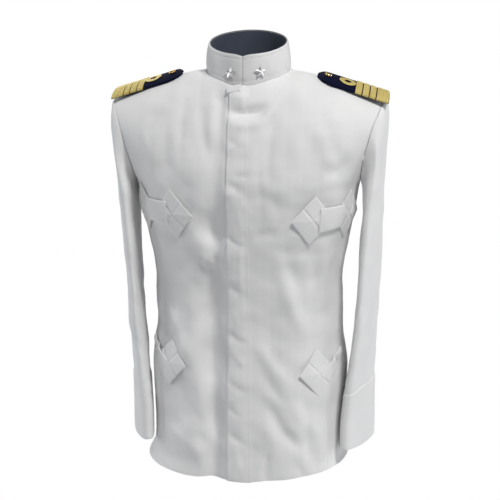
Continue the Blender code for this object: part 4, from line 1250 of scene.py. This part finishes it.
def star(label, turn, share):
    """A silver star with raised ridges, pinned flat on the collar."""
    levels = np.array([0.0, 0.12, 0.5, 0.85, 1.0])
    grid, _, angle = collar_grid(0.0, COLLAR_FOOT, levels)
    at = math.radians(turn % 360)
    rows = np.array([read_at(at, angle, row) for row in grid])
    centre = read_at(share, levels, rows)
    upward = unit(rows[3] - rows[1])
    normal = np.array([math.sin(at), -math.cos(at), 0.0])
    normal = unit(normal - upward * (normal @ upward))
    across = np.cross(upward, normal)
    vertices = []
    for height, grow in ((0.13, 1.06), (0.19, 1.06), (0.22, 1.02)):
        for i in range(10):
            radius = STAR_RADIUS * grow * (1.0 if i % 2 == 0 else 0.47)
            a = math.radians(90 + 36 * i)
            flat = across * radius * math.cos(a) + upward * radius * math.sin(a)
            vertices.append(centre + flat + normal * height)
    vertices.append(centre + normal * 0.50)
    faces = grid_faces(3, 10, True)
    faces += [(20 + i, 20 + (i + 1) % 10, 30) for i in range(10)]
    faces.append(tuple(range(9, -1, -1)))
    stiff_piece("star", "metal", label, vertices, faces, silver, "silver_metal", 12.0)


def add_node(tree, kind, vector=None, **values):
    """A shader node with its inputs set, its Vector read from another node's output."""
    node = tree.nodes.new("ShaderNode" + kind)
    for name, value in values.items():
        node.inputs[name.replace("_", " ")].default_value = value
    if vector is not None:
        tree.links.new(vector, node.inputs["Vector"])
    return node


def new_material(name, colour, rough, metal=0.0, **values):
    """A material with its shader and its node tree."""
    material = bpy.data.materials.new(name)
    material.use_nodes = True
    shader = material.node_tree.nodes["Principled BSDF"]
    shader.inputs["Base Color"].default_value = (*colour, 1.0)
    values.update(Roughness=rough, Metallic=metal)
    for key, value in values.items():
        shader.inputs[key.replace("_", " ")].default_value = value
    return material, shader, material.node_tree


def tint(tree, shader, factor, *stops):
    """Colours the shader between two colours, each with the factor where it is reached."""
    ramp = add_node(tree, "ValToRGB")
    for element, (position, colour) in zip(ramp.color_ramp.elements, stops):
        element.position = position
        element.color = (*colour, 1.0)
    tree.links.new(factor, ramp.inputs["Fac"])
    tree.links.new(ramp.outputs["Color"], shader.inputs["Base Color"])


def add_bump(tree, shader, height, strength, distance, before=None):
    """A bump on the shader's surface, on top of one before it."""
    bump = add_node(tree, "Bump", Strength=strength, Distance=distance)
    tree.links.new(height, bump.inputs["Height"])
    if before is not None:
        tree.links.new(before.outputs["Normal"], bump.inputs["Normal"])
    tree.links.new(bump.outputs["Normal"], shader.inputs["Normal"])
    return bump


def woven(name, colour, lighter, rough, sheen, twill=1900.0, **values):
    """Woven cloth: a fine slanting twill, slight unevenness and a soft sheen."""
    material, shader, tree = new_material(
        name, colour, rough, Sheen_Weight=sheen, Sheen_Roughness=0.5, **values
    )
    place = add_node(tree, "TexCoord").outputs["Object"]
    noise = add_node(tree, "TexNoise", place, Scale=14.0, Detail=5.0)
    tint(tree, shader, noise.outputs["Fac"], (0.3, colour), (0.7, lighter))
    turned = add_node(tree, "Mapping", place, Rotation=(0.0, math.radians(27.0), 0.0))
    wave = add_node(tree, "TexWave", turned.outputs["Vector"], Scale=twill / 6.2832,
                    Distortion=0.6, Detail=1.0)
    wave.bands_direction = "X"
    slub = add_node(tree, "TexNoise", place, Scale=260.0, Detail=3.0)
    first = add_bump(tree, shader, slub.outputs["Fac"], 0.25, 0.0006)
    add_bump(tree, shader, wave.outputs["Fac"], 0.22, 0.0003, first)
    return material


def metallic_thread(name):
    """Gold lace: bright and dark wire threads that cross."""
    material, shader, tree = new_material(name, (0.86, 0.70, 0.24), 0.38, 0.3)
    place = add_node(tree, "TexCoord").outputs["Object"]
    fine = add_node(tree, "TexVoronoi", place, Scale=1500.0).outputs["Distance"]
    tint(tree, shader, fine, (0.05, (1.0, 0.88, 0.42)), (0.75, (0.62, 0.46, 0.09)))
    add_bump(tree, shader, fine, 0.5, 0.0005)
    return material


def polished(name, colour, rough, metal):
    """Polished metal with faint wear in its gloss."""
    material, shader, tree = new_material(name, colour, rough, metal)
    place = add_node(tree, "TexCoord").outputs["Object"]
    noise = add_node(tree, "TexNoise", place, Scale=420.0, Detail=4.0).outputs["Fac"]
    wear = add_node(tree, "MapRange", To_Min=rough * 0.7, To_Max=rough * 1.5)
    tree.links.new(noise, wear.inputs["Value"])
    tree.links.new(wear.outputs["Result"], shader.inputs["Roughness"])
    add_bump(tree, shader, noise, 0.05, 0.0003)
    return material


def camera_at_photo():
    """The photo's camera, worked out from the collar, the shoulders, the waist and the hem."""
    a, e, r = (math.radians(v) for v in (CAMERA_AZIMUTH, CAMERA_PITCH, CAMERA_ROLL))
    place = Vector((math.sin(a) * CAMERA_AWAY, -math.cos(a) * CAMERA_AWAY, CAMERA_UP)) * CM
    forward = Vector((-math.sin(a) * math.cos(e), math.cos(a) * math.cos(e), -math.sin(e)))
    right = Vector((math.cos(a), math.sin(a), 0.0))
    up = right.cross(forward)
    right, up = (
        right * math.cos(r) - up * math.sin(r),
        right * math.sin(r) + up * math.cos(r),
    )
    data = bpy.data.cameras.new("photo_camera")
    data.lens = CAMERA_LENS
    data.sensor_width = 36.0
    data.shift_x = CAMERA_SHIFT_X
    data.shift_y = CAMERA_SHIFT_Y
    data.clip_end = 60.0
    camera = bpy.data.objects.new("photo_camera", data)
    turned = Matrix((right, up, -forward)).transposed().to_4x4()
    turned.translation = place
    camera.matrix_world = turned
    bpy.context.scene.collection.objects.link(camera)
    bpy.context.scene.camera = camera


def area_light(name, place, size, power, colour):
    """A soft square light that points at the garment's middle."""
    data = bpy.data.lights.new(name, "AREA")
    data.size = size
    data.energy = power
    data.color = colour
    light = bpy.data.objects.new(name, data)
    light.location = place
    aim = Vector((0.0, 0.0, -0.3)) - Vector(place)
    light.rotation_euler = aim.to_track_quat("-Z", "Y").to_euler()
    bpy.context.scene.collection.objects.link(light)


def white_room():
    """The world: pale light from all round, and pure white where the camera sees it."""
    world = bpy.data.worlds.new("studio")
    world.use_nodes = True
    tree = world.node_tree
    room = tree.nodes["Background"]
    room.inputs["Color"].default_value = (0.93, 0.96, 1.0, 1.0)
    room.inputs["Strength"].default_value = WORLD_STRENGTH
    paper = add_node(tree, "Background", Color=(1.0, 1.0, 1.0, 1.0))
    seen = add_node(tree, "LightPath")
    mix = add_node(tree, "MixShader")
    tree.links.new(seen.outputs["Is Camera Ray"], mix.inputs["Fac"])
    tree.links.new(room.outputs["Background"], mix.inputs[1])
    tree.links.new(paper.outputs["Background"], mix.inputs[2])
    tree.links.new(mix.outputs["Shader"], tree.nodes["World Output"].inputs["Surface"])
    bpy.context.scene.world = world
    bpy.context.scene.view_settings.view_transform = "Standard"


def studio():
    """A white room, a pale floor and soft lights."""
    white_room()
    mesh = bpy.data.meshes.new("floor")
    turns = np.linspace(0, 2 * math.pi, 96, endpoint=False)
    rim = [(FLOOR_RADIUS * math.cos(a), FLOOR_RADIUS * math.sin(a), FLOOR_Z) for a in turns]
    mesh.from_pydata(rim, [], [tuple(range(len(rim)))])
    material, shader, tree = new_material("pale_floor", (0.9, 0.9, 0.9), 0.9)
    noise = add_node(tree, "TexNoise", Scale=3.0)
    tint(tree, shader, noise.outputs["Fac"], (0.0, (0.88, 0.88, 0.88)), (1.0, (0.92, 0.92, 0.92)))
    mesh.materials.append(material)
    floor = bpy.data.objects.new("floor", mesh)
    bpy.context.scene.collection.objects.link(floor)
    for light in LIGHTS:
        area_light(*light)


white = woven("white_gabardine", (0.78, 0.78, 0.785), (0.83, 0.83, 0.83), 0.78, 0.25)
stiff = woven("stiffened_gabardine", (0.60, 0.60, 0.605), (0.78, 0.78, 0.78), 0.74, 0.15)
lining = woven("dark_lining_cloth", (0.062, 0.078, 0.112), (0.078, 0.096, 0.136), 0.6, 0.1)
navy = woven("navy_melton", (0.0015, 0.003, 0.016), (0.003, 0.005, 0.028), 0.9, 0.0,
             Specular_IOR_Level=0.12)
thread = woven("white_thread", (0.80, 0.80, 0.80), (0.85, 0.85, 0.85), 0.6, 0.2, 4000.0)
gold = metallic_thread("gold_lace_thread")
gilt = polished("gilt_button_metal", (0.83, 0.58, 0.20), 0.22, 1.0)
silver = polished("silver_star_metal", (0.90, 0.90, 0.91), 0.30, 0.9)
threads = []

for hand, label in ((1, "left"), (-1, "right")):
    body_cloth(hand, label)
    sleeve_cloth(hand, label)
    cuff(hand, label)
    pockets(hand, label)
    board(hand, label)
    for band in BANDS:
        lace_band(hand, label, *band)
    curl(hand, label)
    button(hand, label)
    star(label, *STAR_PLACES[label])
collar_cloth()
collar_tab()
placket_cloth()
stitches("sewing_stitches", threads, thread)
studio()
camera_at_photo()
